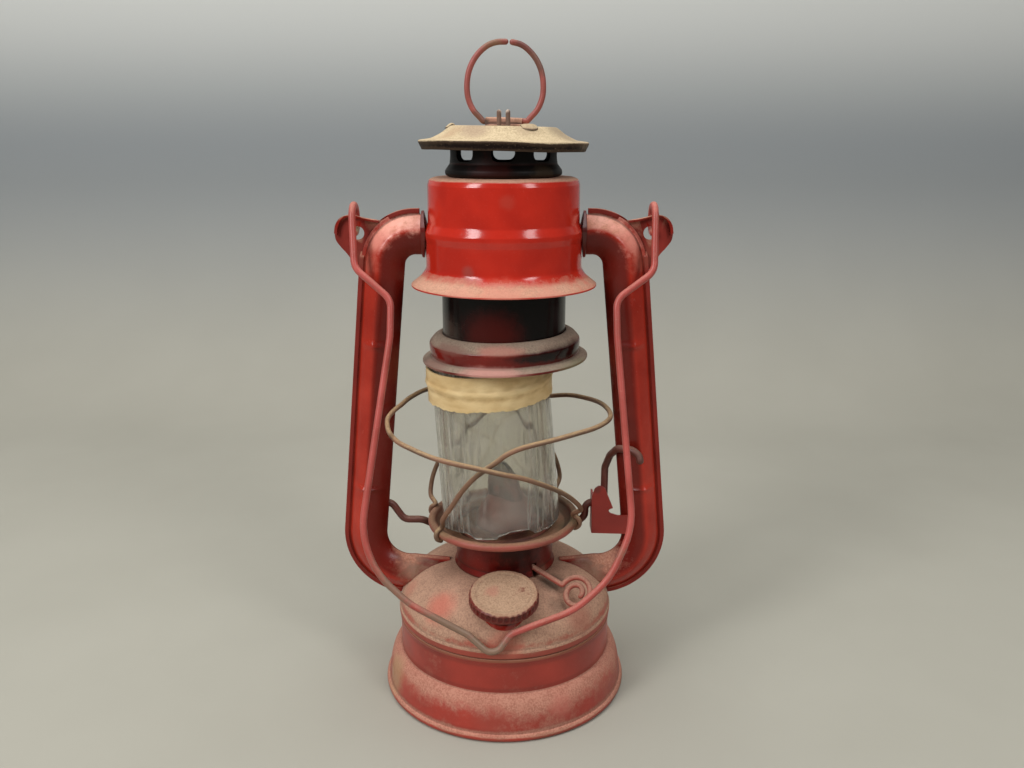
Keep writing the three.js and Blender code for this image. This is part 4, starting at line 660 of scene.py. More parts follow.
ear_edge = [[61.5, 258.3], [63.5, 258.5], [70.5, 259.7], [78.7, 261.3], [83.0, 259.8], [85.5, 256.3], [86.3, 252.1],
            [85.6, 248.0], [84.0, 245.7], [79.5, 240.3], [75.8, 233.1]]
ear_outline = np.concatenate([through(ear_edge, 60), [[72.3, 234.6], [69.7, 243.8], [65.2, 251.2], [61.5, 255.6]]])
lip_edge = through(ear_edge[1:7], 40)
lip_inside = lip_edge + np.stack([-0.22 * np.maximum(lip_edge[:, 0] - 80, 0), np.full(40, -1.1)], -1)
lip_outline = np.concatenate([lip_edge, lip_inside[::-1]])
pivot_height, pivot_back, pivot_hole = 103.3, 3, 2.3
# The tone 4f100b is painted shade on the inner half of each tube, the half that faces the globe.
tube_finish = dict(dust=("d29b82", "a5694f"), dusty=(0.3, 0.85, 0.85), freckle=0.06, worn=0.4, rust="7a2a20",
                   grime_and_shade=0.5, gloss=0.26, painted_inner_shade="4f100b", shine=0.3)
for hand, sign in (("right", 1), ("left", -1)):
    finishes = {
        "front": enamel(f"red_enamel_{hand}_tube_front", "b43626", "9a2618", stains=[
            # The four stains on the elbow are pale dust with a painted highlight of the top light.
            (sign * 49, -7, 264, 13, "f0b4a2", 0.9), (sign * 60, -7, 259, 12, "e8a492", 0.85),
            (sign * 67, -6, 249, 11, "dc9080", 0.75), (sign * 69, -5, 238, 9, "c8705f", 0.5),
            (sign * 46, -9, 64, 17, "8c6c59", 0.85)], **tube_finish),
        "back": enamel(f"red_enamel_{hand}_tube_back", "8f2419", "731811", stains=[
            (sign * 72, 0, 240, 9, "8a5240", 0.5)], **tube_finish),
    }
    for half, side in (("front", -1), ("back", 1)):
        tube = carve(
            build(f"{hand}_tube_{half}_shell", tube_half(side, sign)),
            build("trim_fount", fount_body(0.15)),
            build("trim_burner", bar(30.8, 40, 88)),
            build("trim_canopy", bar(40.7, 225, 272)),
            build("trim_crimp", box((-42.7, -17, 261.4), (42.7, 17, 282))))
        if half == "back":
            bail_hole = moved(bar(3.4, -20, 20, 48), turn("X", 90), (sign * 74.6, 0, 252.1))
            plate = carve(build("ear", slab(ear_outline * [sign, 1], 0.15, 1.05)), build("hole", bail_hole))
            tube = joined(tube, plate, build("ear_lip", slab(lip_outline * [sign, 1], -1.7, 1.0)))
        if hand == "left":
            tube = carve(tube, build("pivot", moved(
                bar(pivot_hole, -10, 6, 32), turn("Y", -90), (-62, pivot_back, pivot_height))))
        dress(tube, finishes[half])
        # Paints shade on the half that faces the globe.
        paint_shade_on_inner_half(tube)
        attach(tube, "frame")
        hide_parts(f"{hand}_tube_{half}")

# Tube collars: narrow rings rolled from tinplate and soldered where the two tubes enter the canopy. They are glossy
# and clean, since the canopy keeps the dust off them, and their deep red is painted almost black as shade.
collar_share = -np.cos(np.linspace(0, math.pi, 33))
for hand, sign in (("right", 1), ("left", -1)):
    rows = []
    for x, grow in ((37.5, 0.35), (41.6, 0.35), (41.8, 0.6), (41.8, 1.1), (41.5, 1.5), (37.5, 1.5)):
        half = np.stack([(tube_half_width + grow) * collar_share, lens(collar_share, grow, 0)], -1)
        ring = np.concatenate([half, (half * [1, -1])[-2:0:-1]])
        rows.append(np.stack([np.full(len(ring), sign * x), ring[:, 1], tube_axis + ring[:, 0]], -1))
    ring_sheet = (np.swapaxes(np.array(rows), 0, 1), True, True)
    collar = carve(build(f"{hand}_tube_collar_ring", ring_sheet), build("canopy_trim", bar(40.5, 225, 280)))
    # The near-black red of the collars is painted shade.
    dress(collar, enamel(f"shade_darkened_red_enamel_{hand}_collar", "6a130d", "520d09", dusty=(0.7, 1.2, 0.4), gloss=0.22,
                         freckle=0.05, worn=0.1))
    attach(collar, "frame")
    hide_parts(f"{hand}_tube_collar")

# Canopy: a bell drawn from one sheet, with a rounded bead at mid height and a flared rim. It joins the two tubes.
# Its enamel is brighter and glossier than the rest, with a few brown scuffs, and dust lies on shoulder and rim.
canopy_outline = eased([
    [26.4, 280.1], [34.8, 280.1], [37.4, 279.2], [38.3, 276.5], [38.5, 257.4], [40.3, 253.4], [40.3, 251.2],
    [39.7, 248.4], [39.8, 235.0], [42.3, 230.9], [47.6, 226.7], [47.6, 225.7], [41.4, 230.0], [39.0, 234.6],
    [39.0, 252.0], [37.5, 257.4], [37.4, 276.5], [34.4, 279.2], [26.4, 279.2]],
    [0.2, 1.6, 2.2, 1.6, 3, 2, 2, 3, 4, 8, 0.4, 0.4, 8, 4, 2, 2, 2, 1, 0.2], True)
air_hole = bar(1, -60, 60, 48)[0] * [7, 5, 1]
canopy = carve(
    build("canopy_bell", spun(canopy_outline, 160)),
    build("air_holes", moved((air_hole, True, False), turn("Y", 90), (0, 0, tube_axis))))
dress(canopy, enamel(
    "bright_red_enamel_canopy", "c62c1b", "b02416", dust=("cfa186", "a87d66"), dusty=(0.44, 0.8, 0.93),
    freckle=0.06, pale="d8897b", worn=0.12, rust="9c3a2c", grime_and_shade=0.1, gloss=0.17, ragged=0.45, stains=[
        (-17, -36, 237, 5, "8a504a", 0.5), (2, -38, 270, 5, "b04a3c", 0.35), (0, -48, 225, 15, "cf8672", 0.6),
        (-22, -42, 225, 12, "d08c78", 0.5), (24, -42, 225, 12, "d08c78", 0.5)]))
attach(canopy, "frame")
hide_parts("canopy")


# Catch plate: a flat stamping spot-welded to the right tube, with a notch that holds the lever's handle down,
# and its inner edge folded back to carry the lever's pivot. Its red is flat and dull, with a dark smudge at the tip.
def bevelled(piece):
    """Rounds a piece's sharp edges to 0.2 mm."""
    edge = piece.modifiers.new("edge", "BEVEL")
    edge.width, edge.segments, edge.limit_method = 0.2 * mm, 2, "ANGLE"
    return piece


catch_low, catch_high, catch_x = 88.4, 110.4, 47.9
catch_corners = np.array([
    [0, 0], [1, -0.02], [1, 0.37], [0.72, 0.37], [0.5, 0.42], [0.45, 0.49], [0.59, 0.525], [0.35, 0.94], [0.2, 1],
    [0.07, 0.93], [0, 0.78]]) * [19.8, 28.2] + [catch_x, catch_low]
catch_outline = eased(catch_corners, [0.6, 0.3, 0.3, 3, 3, 1.2, 0.3, 2, 3, 2, 2], True)
catch_plate = carve(
    build("catch_plate_stamping", slab(catch_outline, -5.5, -4.5)),
    build("tube_side", tube_half(-1, 1)))
catch_fold = carve(
    build("catch_fold", slab([[catch_x, catch_low], [catch_x + 1, catch_low], [catch_x + 1, catch_high],
                              [catch_x, catch_high]], -5.0, 5.0)),
    build("pivot", moved(bar(pivot_hole, -10, 10, 32), turn("Y", 90), (48.4, pivot_back, pivot_height))))
dress(bevelled(joined(catch_plate, catch_fold)), enamel(
    "red_enamel_catch_plate", "8e281e", "7c2019", dusty=(0.9, 1.3, 0.4), freckle=0.05, worn=0.0, grime_and_shade=0.0,
    gloss=0.4, stains=[(50.5, -5, 115, 4, "4a211b", 0.6)]))
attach(catch_plate, "frame")
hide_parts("catch_plate")

# Lift lever: one bent 4 mm steel wire. It turns in the left tube and in the catch plate, passes under the globe plate
# as a yoke, and ends in a hooked handle. The red paint on it has gone brown with rust and handling.
yoke_angle = np.radians(90 + 75 * (1 - 2 * np.linspace(0, 1, 25)))
yoke = polar(31.6, yoke_angle, 87.8)
tube_inside = straight_top[0] + (straight_top[1] - pivot_height) * math.tan(lean) - tube_half_width / math.cos(lean)
lever_pivot = [55.3, pivot_back, pivot_height]
handle = np.array([[0, 0, 0.58], [0.14, 0.167, 0.81], [0.33, 0.52, 0.98], [0.77, 0.83, 1.01], [0.975, 0.945, 0.935],
                   [1, 1, 0.868]]) * [16.5, -18, 35.6] + lever_pivot
lever_corners = np.concatenate([
    [[-tube_inside - 6.5, pivot_back, pivot_height], [-tube_inside + 1, pivot_back, pivot_height],
     [-tube_inside + 7.725, pivot_back, 93], [-45.9, pivot_back, 93], [-39.9, 7, 88.2]],
    yoke, [[39.9, 5, 90], [44.9, pivot_back, 95], [44.9, pivot_back, pivot_height], lever_pivot], handle])
lift_lever = dress(build("lift_lever_wire", wire(finer(eased(lever_corners, 5.5), 1.2), 2.0)), enamel(
    "worn_red_enamel_lever", "6b2a22", "3c1914", dust=("96715e", "5c4336"), dusty=(0.2, 1.1, 0.6), freckle=0.25,
    pale="96645a", worn=0.1, film=0.1, gloss=0.32))
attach(lift_lever, "lever")
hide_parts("lift_lever")

# Globe plate: a shallow dish of tinplate with its edge rolled into a bead, lifted by the lever with the globe on it.
# The bead is rubbed to brown, and the dish holds a matte layer of olive-brown dust and old oil.
plate_turn, plate_at = turn("X", 0.2) @ turn("Y", -1.2), (-0.56, 0, 96.0)
plate_bead = 39.5
plate_outline = np.concatenate([
    eased([[13.7, -3.8], [24.4, -3.8], [25.2, -5.5], [26.8, -5.5], [27.6, -3.8], [34.8, -3.8], [37.6, -1.6]],
          [0, 1, 0.8, 0.8, 1, 2, 0]), arc((plate_bead, 0), 2.15, -150, 176, 26),
    eased([[37.0, -0.6], [34.4, -2.9], [27.3, -2.9], [26.5, -4.6], [25.5, -4.6], [24.7, -2.9], [13.7, -2.9]],
          [0, 2, 1, 0.6, 0.6, 1, 0])])
globe_plate = dress(build("globe_plate_dish", moved(spun(plate_outline, 144), plate_turn, plate_at)), enamel(
    "chipped_red_enamel_dish", "a04a3f", "8a3a30", dust=("93785a", "64513a"), dusty=(0.2, 1.0, 0.75), freckle=0.3,
    worn=0.1, rust="a07565", grime_and_shade=0.5, gloss=0.4, film=0.1, stains=[
        (40, -8, 97, 17, "6b5a40", 0.85), (-32, -24, 97, 8, "8d7350", 0.5), (30, 28, 96, 30, "6b5a44", 0.8),
        (6, -22, 93, 14, "55291f", 0.85), (-38, 10, 96, 16, "96705a", 0.5)]))
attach(globe_plate, "globe_carriage")
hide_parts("globe_plate")

# Burner cone: a spun tinplate dome with a raised oval and a slot for the flame, standing in the plate. Heat has
# browned it, and soot greys the oval. The height at a point is the larger of the dome's and the oval's, blended.
globe_turn, globe_at = turn("X", 2) @ turn("Y", -3.85), (0.5, 0, 101.3)
cone_angle = circle(96)
cone_reach = np.concatenate([[1.11], np.sin(np.linspace(math.pi / 2, 0, 44))])
skins = []
for wall in (0.0, 0.8):
    reach = (16.4 - wall) * cone_reach
    dome = (19 - wall) * np.sqrt(np.maximum(1 - (reach / (16.4 - wall)) ** 2, 0))
    turned = cone_angle - math.radians(spindle_azimuth)
    spread = (reach * np.cos(turned) / (10.5 - wall)) ** 2 + (reach * np.sin(turned) / (6.0 - wall)) ** 2
    oval = 18.1 + (17.5 - wall) * np.sqrt(np.maximum(1 - spread, 0)) - 18.1 * (spread > 1)
    tall = np.logaddexp(dome * 2.5, oval * 2.5) / 2.5 - math.log(2) / 2.5 * (dome < 0.1)
    tall[:, :2] = 0.0
    skins.append(polar(reach, cone_angle, np.maximum(tall, 0) - 7.6 - wall * 0.2))
cone_grid = np.concatenate([skins[0], skins[1][:, ::-1]], 1)
burner_cone = carve(
    build("burner_cone_dome", moved((cone_grid, True, True), globe_turn, globe_at)),
    build("flame_slot", moved(box((-6.5, -1.4, 22), (6.5, 1.4, 40)), globe_turn @ spindle_way, globe_at)))
dress(burner_cone, enamel(
    "heat_browned_tinplate_cone", "ac6258", "8a4a42", dust=("a08074", "7a6053"), dusty=(0.5, 1.3, 0.4), pale="9a8078",
    worn=0.1, rust="5f5a52", film=0.1, gloss=0.4, stains=[(0, 0, 123, 15, "66644a", 0.95)]))
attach(burner_cone, "globe_carriage")
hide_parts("burner_cone")

# Globe: a straight pressed-glass cylinder with 20 shallow flutes, broken along its lower edge and turned so that it
# still stands in the dish. It is clear soda glass, clouded by fine upright streaks of soot and dried rain, thicker
# towards its two sides than in the middle.
chip = through([[0, 2.3], [0.05, 2.4], [0.1, 2.6], [0.13, 3.0], [0.16, 4.8], [0.19, 6.9], [0.21, 7.2], [0.233, 6.4],
                [0.255, 5.2], [0.28, 3.6], [0.304, 3.4], [0.324, 4.3], [0.345, 5.7], [0.382, 4.7], [0.44, 3.0],
                [0.55, 1.6], [0.8, 1.4], [1.0, 2.3]], 400)
glass_height, glass_foot, glass_taper = 94.6, 32.2, 1.4
glass_share = np.linspace(0, 1, 240, endpoint=False)[:, None]
glass_chip = np.interp(glass_share, chip[:, 0], chip[:, 1])
glass_up = np.linspace(0, 1, 40)
glass_rows = np.concatenate([glass_up, [1.0, 1.0], glass_up[::-1], [0.0]])
glass_wall = np.concatenate([np.zeros(40), [0.35, 1.65], np.full(40, 2.0), [1.0]])
glass_edge = np.concatenate([np.zeros(40), [0.5, 0.5], np.zeros(40), [-0.4]])
glass_rise = glass_chip + (glass_height - glass_chip) * glass_rows + glass_edge
glass_flute = 0.13 * (0.5 - 0.5 * np.cos(2 * math.pi * 20 * glass_share)) * np.concatenate(
    [np.ones(40), [0, 0], np.full(40, 0.3), [0]])
glass_radius = glass_foot - glass_taper * glass_rise / glass_height - glass_flute - glass_wall
glass_grid = polar(glass_radius, -2 * math.pi * glass_share, glass_rise) - [2.6, 0, 6.8]
clouded = bare_material("streaked_soda_glass")
glass_place = add(clouded, "TexCoord")["Object"]
glass_upright = add(clouded, "Mapping", {"Vector": glass_place, "Scale": (1.0, 1.0, 0.07)})[0]
glass_streak = add(clouded, "TexNoise", {
    "Vector": glass_upright, "Scale": 420.0, "Detail": 5.0, "Roughness": 0.6})["Fac"]
glass_cloud = add(clouded, "TexNoise", {"Vector": glass_place, "Scale": 60.0, "Detail": 5.0})["Fac"]
glass_marks = add(clouded, "MapRange", {"Value": glass_streak, "From Min": 0.45, "From Max": 0.7, "To Max": 0.65},
                  interpolation_type="SMOOTHSTEP")[0]
glass_haze = add(clouded, "MapRange", {
    "Value": glass_cloud, "From Min": 0.4, "From Max": 0.7, "To Min": 0.04, "To Max": 0.16})[0]
glass_across = add(clouded, "SeparateXYZ", {0: glass_place})["X"]
glass_across = add(clouded, "Math", {0: glass_across, 1: 0.003}, operation="ADD")[0]
glass_across = add(clouded, "Math", {0: glass_across}, operation="ABSOLUTE")[0]
glass_sides = add(clouded, "MapRange", {
    "Value": glass_across, "From Min": 0.008, "From Max": 0.022, "To Min": 0.25}, interpolation_type="SMOOTHSTEP")[0]
glass_marks = add(clouded, "Math", {0: glass_marks, 1: glass_sides}, operation="MULTIPLY")[0]
glass_dirt = add(clouded, "Math", {0: glass_marks, 1: glass_haze}, operation="MAXIMUM")[0]
glass_clear = add(clouded, "Math", {0: 1.0, 1: glass_dirt}, operation="SUBTRACT")[0]
glass_tone = add(clouded, "Mix", {0: glass_dirt, 6: rgb("f3f0e6"), 7: rgb("8c806c")}, data_type="RGBA")[2]
glass_rough = add(clouded, "MapRange", {"Value": glass_dirt, "To Min": 0.02, "To Max": 0.45})[0]
glass_shader = add(clouded, "BsdfPrincipled", {
    "Base Color": glass_tone, "Roughness": glass_rough, "Transmission Weight": glass_clear, "IOR": 1.5})
add(clouded, "OutputMaterial", {"Surface": glass_shader[0]})
globe_glass = dress(build("globe_glass_cylinder", moved((glass_grid, True, True), globe_turn, globe_at)), clouded, 60)
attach(globe_glass, "globe_carriage")
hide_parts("globe_glass")

# Paper tape: a band of gummed paper wound round the top of the glass to pad it under the crown. It is matte and
# yellowed, darkened by painted shade in its creases, puckered where it overlaps, and fuzzy and torn along its lower
# edge.
tape_angle = circle(360)
tape_share = np.concatenate([np.linspace(0, 1, 26), np.linspace(1, 0, 26)])
tape_wall = np.concatenate([np.full(26, 0.7), np.zeros(26)])
tape_tear = (0.25 * np.sin(7 * tape_angle + 0.6) + 0.2 * np.sin(17 * tape_angle) + 0.16 * np.sin(41 * tape_angle + 1)
             + 0.12 * np.sin(73 * tape_angle))
tape_rise = 67.3 + 18 * tape_share + tape_tear * (1 - tape_share) ** 3
tape_crease = 0.75 * np.exp(-((tape_share - 0.52 - 0.05 * np.sin(2 * tape_angle + 1)) / 0.09) ** 2)
tape_pucker = (0.16 * np.sin(9 * tape_angle + 4 * tape_share) * np.sin(3.1 * tape_share)
               + 0.1 * np.sin(23 * tape_angle - 7 * tape_share))
tape_radius = (glass_foot - glass_taper * tape_rise / glass_height + 1.0 + tape_wall
               + (tape_crease + tape_pucker + 0.12) * (tape_wall > 0))
tape_grid = polar(tape_radius, tape_angle, tape_rise) - [3.3, 0, 0]
gummed = bare_material("yellowed_gummed_paper")
tape_place = add(gummed, "TexCoord")["Object"]
tape_flat = add(gummed, "Mapping", {"Vector": tape_place, "Scale": (1.0, 1.0, 3.0)})[0]
tape_cloud = add(gummed, "TexNoise", {"Vector": tape_flat, "Scale": 55.0, "Detail": 5.0})["Fac"]
tape_fibre = add(gummed, "TexNoise", {"Vector": tape_flat, "Scale": 900.0, "Detail": 4.0})["Fac"]
tape_bend = add(gummed, "Attribute", attribute_name="bend")["Fac"]
tape_tone = rgb("e8cd9a")
# The a8834f tone on the inward bends is painted shade in the creases.
for value, low, high, most, tone in (
        (tape_cloud, 0.35, 0.68, 1.0, "d2b17b"), (tape_bend, -0.01, -0.12, 0.5, "a8834f"),
        (tape_fibre, 0.62, 0.75, 0.35, "9c7c50")):
    share = add(gummed, "MapRange", {"Value": value, "From Min": low, "From Max": high, "To Max": most})[0]
    tape_tone = add(gummed, "Mix", {0: share, 6: tape_tone, 7: rgb(tone)}, data_type="RGBA")[2]
tape_relief = add(gummed, "Bump", {"Strength": 0.4, "Distance": 0.0004, "Height": tape_fibre})[0]
tape_shader = add(gummed, "BsdfPrincipled", {
    "Base Color": tape_tone, "Roughness": 0.75, "Specular IOR Level": 0.35, "Normal": tape_relief})
add(gummed, "OutputMaterial", {"Surface": tape_shader[0]})
glass_tape = dress(build("glass_tape_band", moved((tape_grid, True, True), globe_turn, globe_at)), gummed)
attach(glass_tape, "globe_carriage")
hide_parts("glass_tape")


# Globe guard: two hoops of 2.6 mm bare steel wire that cross in front of the glass. Each is hooked round the plate's
# bead at both ends. They have rusted to an even matte tan-brown, paler where dust has stuck.
def guard_path(places):
    """A smooth curve through (azimuth, rise share, reach share) places of 60 mm each about the leaning glass. It ends
    in a hook of 3.4 mm radius round the plate's bead at the azimuths of the first and last places."""
    azimuth, rise, reach = np.array(places, float).T
    angle = np.radians(azimuth)
    free = polar(60 * reach, angle, 60 * rise)[1:-1] @ globe_turn.T + globe_at
    bend = np.radians([80, 40, 0, -40, -80])
    first, last = (polar(plate_bead + 3.4 * np.cos(bend), end, 3.4 * np.sin(bend)) @ plate_turn.T + plate_at
                   for end in (angle[0], angle[-1]))
    return through(np.concatenate([first[::-1], free, last]), 360)


rusty_wire = enamel(
    "rust_browned_steel_wire", "7d5240", "54372b", dust=("b89a72", "836650"), dusty=(0.1, 1.0, 0.85), freckle=0.4,
    pale="a3835f", worn=0.0, grime_and_shade=0.1, gloss=0.5, film=0.15)
for name, places in {
    "left_guard_wire": [
        [-14, 0, 0], [-27, 0.1, 0.76], [-39, 0.26, 0.78], [-52, 0.409, 0.8], [-64, 0.524, 0.82], [-76.5, 0.63, 0.845],
        [-89.5, 0.706, 0.87], [-100, 0.761, 0.89], [-111.5, 0.803, 0.91], [-125, 0.838, 0.93], [-138, 0.88, 0.96],
        [-151, 0.904, 0.985], [-162, 0.95, 0.994], [-169, 1.01, 0.972], [-173, 1.041, 0.923], [-180, 1.066, 0.848],
        [-187, 1.072, 0.82], [-195.5, 1.068, 0.803], [-213, 1.052, 0.8], [-245, 0.97, 0.81], [-272, 0.78, 0.82],
        [-292, 0.5, 0.815], [-309, 0.2, 0.8], [-314, 0.03, 0.765], [-319, 0, 0]],
    "right_guard_wire": [
        [-146, 0, 0], [-136, 0.157, 0.735], [-124.4, 0.333, 0.755], [-115, 0.492, 0.775], [-106, 0.626, 0.795],
        [-98, 0.72, 0.82], [-91, 0.795, 0.845], [-85, 0.863, 0.865], [-77.4, 0.91, 0.885], [-71, 0.93, 0.905],
        [-60.5, 0.942, 0.925], [-47, 0.945, 0.955], [-34, 0.93, 0.985], [-18, 0.915, 1.01], [4, 0.9, 0.965],
        [27, 0.868, 0.93], [41.7, 0.859, 0.88], [53.7, 0.834, 0.83], [90, 0.74, 0.8], [120, 0.52, 0.795],
        [143.7, 0.279, 0.8], [152, 0.175, 0.785], [159, 0.05, 0.76], [165, 0, 0]],
}.items():
    hoop = dress(build(f"{name}_hoop", wire(guard_path(places), 1.3)), rusty_wire)
    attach(hoop, "globe_carriage")
    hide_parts(name)

# Crown: a spun hood base that sits on the glass, bulged like a cushion over a flat flange. It was red. Soot has
# blackened its right side and its back with a soft gloss, and dust greys its shoulder and reddens its flange.
crown_turn, crown_at = turn("Y", -1.6), (0.5, 0, 188)
crown_outline = eased([
    [32.3, 13.9], [33.7, 13.9], [36.8, 12.4], [39.5, 9.2], [39.4, 6.4], [38.5, 2.3], [43.3, 0.45], [43.3, -0.9],
    [42.4, -0.9], [37.6, 1.6], [38.5, 6.4], [38.5, 8.6], [36.2, 11.4], [32.3, 13.0]],
    [0.3, 2, 4, 3, 4, 1.4, 0.4, 0.4, 0.4, 1, 3, 3, 3, 0.3], True)
crown = dress(build("crown_hood", moved(spun(crown_outline, 144), crown_turn, crown_at)), enamel(
    "sooted_red_enamel_crown", "7a1f18", "5c150f", dust=("a39380", "7c6d5d"), dusty=(0.2, 0.75, 0.88), freckle=0.1,
    pale="8f6f64", worn=0.1, rust="4a322a", grime_and_shade=0.3, gloss=0.15, ragged=0.5, shine=0.3, tall=5.0, stains=[
        (33, -24, 195.3, 30, "0c0807", 0.96), (17, -37, 195, 21, "0c0807", 0.93), (0, 34, 196, 52, "141010", 0.93),
        (-26, -28, 197.6, 18, "7a5a50", 0.6), (-2, -37, 198.9, 17, "bd7a6c", 0.6),
        (-6, -43, 187.8, 24, "cd9488", 0.85), (-36, -20, 187.8, 19, "8a6a5e", 0.8),
        (36, -24, 187.8, 20, "7f7a5e", 0.85)]))
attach(crown, "hood")
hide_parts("crown")

# Crown seat: a flat steel ring inside the crown that rests on the glass, matte black with soot. The crown hides all
# of it but its underside.
refinish("crown_seat", simple("flat_black_soot", "1c1a19", "0e0d0d", 5.0, 0.8))

# Chimney: a sheet steel tube that carries the hot gas up through the canopy. It is black with soot over old red
# enamel, which still glows through near its foot, and dusty up its right side.
chimney_outline = eased([
    [31.1, 199.8], [32, 199.8], [32, 240], [24.6, 248], [24.6, 280.2], [26.4, 282.0], [26.4, 282.9], [23.7, 281.1],
    [23.7, 248], [31.1, 239.6]], [0.2, 0.2, 4, 4, 1, 0.3, 0.3, 1, 4, 4], True)
chimney = dress(build("chimney_tube", spun(chimney_outline, 128)), enamel(
    "sooted_enamel_chimney", "0a0505", "060303", dust=("544c46", "38302c"), dusty=(0.5, 1.2, 0.5), freckle=0.05,
    pale="3b322f", worn=0.2, rust="3c302a", gloss=0.24, shine=0.2, ragged=0.35, stains=[
        (-6, -32, 203, 21, "480a06", 0.85), (-29, -16, 202, 14, "4a3d36", 0.7), (31, -12, 214, 14, "35302f", 0.5)]))
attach(chimney, "hood")
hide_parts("chimney")

# Vent ring: a rolled collar on top of the chimney with eight round-bottomed windows that let the smoke out under the
# cap. Soot coats it dead black, and a little red and brown shows on the bulge below the windows.
vent_outline = eased([
    [27.6, 280.3], [29.3, 281.4], [29.3, 283.4], [26.9, 286.7], [26.9, 301.4], [25.3, 303.2], [24.4, 303.2],
    [26.0, 301.2], [26.0, 286.5], [28.4, 283.1], [28.4, 281.9], [27.6, 281.2]],
    [0.2, 1.0, 2, 2, 1, 0.2, 0.2, 1, 2, 2, 0.8, 0.2], True)
window = eased([[-5.7, 301.2], [-5.7, 287.8], [5.7, 287.8], [5.7, 301.2]], [0, 3.4, 3.4, 0])
vent_ring = carve(build("vent_ring_collar", spun(vent_outline, 160, longest=1.5)), *[
    build("window", moved(slab(window, 15, 45), turn("Z", 45 * i))) for i in range(8)])
dress(vent_ring, enamel(
    "sooted_steel_vent", "0c0706", "070404", dust=("4b3f36", "2e2723"), dusty=(0.6, 1.3, 0.4), freckle=0.1,
    pale="40322c", worn=0.1, rust="3a261e", gloss=0.5, shine=0.2, stains=[
        (-6, -28, 281, 12, "3d130e", 0.6), (20, -22, 282, 9, "463829", 0.6)]))
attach(vent_ring, "hood")
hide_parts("vent_ring")

# Smoke cap: a dished steel disc with a turned-down lip that keeps rain out, held by three tabs clinched over it.
# Its top is cream with baked dust and brown stains, its lip is bare, dark and rusty, its brim is a little bent, and
# it leans to the right by the slope below.
cap_slope = [0, 0, 0.018]
cap_profile = finer(eased([
    [0, 304.4], [26.2, 304.4], [31.1, 300.7], [36.2, 298.2], [42.2, 297.4], [42.4, 296.6], [40.7, 293.0],
    [39.8, 293.0], [41.0, 296.2], [36.2, 297.3], [30.6, 299.8], [25.8, 303.5], [0, 303.5]],
    [0, 3, 8, 8, 0.5, 0.5, 0.3, 0.3, 0.5, 8, 8, 3, 0]), 2.0)
brim_reach, brim_rise = cap_profile.T
brim_angle = circle(180)
brim_bent = 0.2 * np.sin(3 * brim_angle + 0.8) + 0.12 * np.sin(7 * brim_angle)
brim_bent = brim_bent * np.clip((brim_reach - 28) / 14, 0, 1)
brim_dent = (0.25 * np.sin(2 * brim_angle + 2) - 0.25) * np.clip(1 - np.abs(brim_reach - 14) / 12, 0, 1)
smoke_grid = polar(brim_reach, brim_angle, brim_rise + brim_bent * 0.8 + brim_dent * 0.6)
smoke_cap = carve(build("smoke_cap_disc", (smoke_grid - smoke_grid[..., :1] * cap_slope, True, False)), *[
    build("prong_hole", moved(bar(1.3, 296, 310, 24), at=(x, -2.5, 0))) for x in (-2.2, 2.2)])
tab_share = np.linspace(0, 1, 9)
tab_across = np.linspace(-1, 1, 9)[:, None]
tab_round = np.sqrt(1 - 0.6 * tab_across ** 2)
tab_rise = 304.2 + (1.7 * np.sin(math.pi * tab_share ** 0.75) - 0.7 * tab_share) * tab_round
tab_skin = np.stack(np.broadcast_arrays(23.8 + 5.0 * tab_share * tab_round, 4.2 * tab_across, tab_rise), -1)
tab_block = np.concatenate([tab_skin, (tab_skin + [0.5, 0, -0.7])[:, ::-1]], 1)
tab_grids = [moved((tab_block, False, True), turn("Z", azimuth))[0] for azimuth in (180, -62, 58)]
tabs = build("tabs", *[(grid - grid[..., :1] * cap_slope, False, True) for grid in tab_grids])
dress(joined(smoke_cap, tabs), enamel(
    "dust_baked_steel_cap", "1c1110", "0f0908", dust=("d0bc99", "a08a6c"), dusty=(0.2, 0.5, 0.97), freckle=0.5,
    pale="86705c", worn=0.25, rust="7a6350", grime_and_shade=0.2, gloss=0.5, shine=0.1, stains=[
        (-14, -24, 304, 10, "9c8470", 0.6), (11, -25, 304, 9, "a08970", 0.5), (33, -11, 305, 17, "94836d", 0.75),
        (-27, -20, 303, 9, "a8896c", 0.55), (-34, -18, 299, 7, "b09a7a", 0.4), (-30, 26, 299, 14, "a78d68", 0.5)]))
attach(smoke_cap, "hood")
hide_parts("smoke_cap")

# Ring bridge: a strap pressed from steel, soldered across the cap, with a bore for the lift ring's straight run.
# It is as dusty as the cap, and browned at its left end where the ring turns in it.
ring_back, ring_height = 4, 306.9
bridge_across, bridge_rise = eased([
    [0.3, 304.5], [0.3, 305.3], [1.6, 305.5], [1.9, 308.9], [6.1, 308.9], [6.4, 305.5], [7.7, 305.3], [7.7, 304.5]],
    [0, 0.3, 0.5, 1.3, 1.3, 0.5, 0.3, 0]).T
bridge_share = np.linspace(0, 1, 13)[:, None]
bridge_x = (2 * bridge_share - 1) * 9.1 + 0.3 * np.sin(bridge_rise)
bridge_drop = 0.5 * (bridge_rise > 305.4) * bridge_share ** 2
bridge_grid = np.stack(np.broadcast_arrays(bridge_x, bridge_across, bridge_rise - bridge_drop), -1)
ring_bridge = carve(
    build("ring_bridge_strap", (bridge_grid, False, True)),
    build("ring_bore", moved(bar(1.7, -20, 20, 32), turn("Y", 90), (0, ring_back, ring_height))))
dress(bevelled(ring_bridge), enamel(
    "dusty_steel_bridge", "9a6552", "7a4c3e", dust=("cfa48a", "a07c66"), dusty=(-0.1, 0.7, 0.9), freckle=0.3,
    worn=0.2, rust="7a5040", gloss=0.5, film=0.35, stains=[(-9.2, 1, 306.5, 2.6, "38281f", 0.9)]))
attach(ring_bridge, "hood")
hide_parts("ring_bridge")

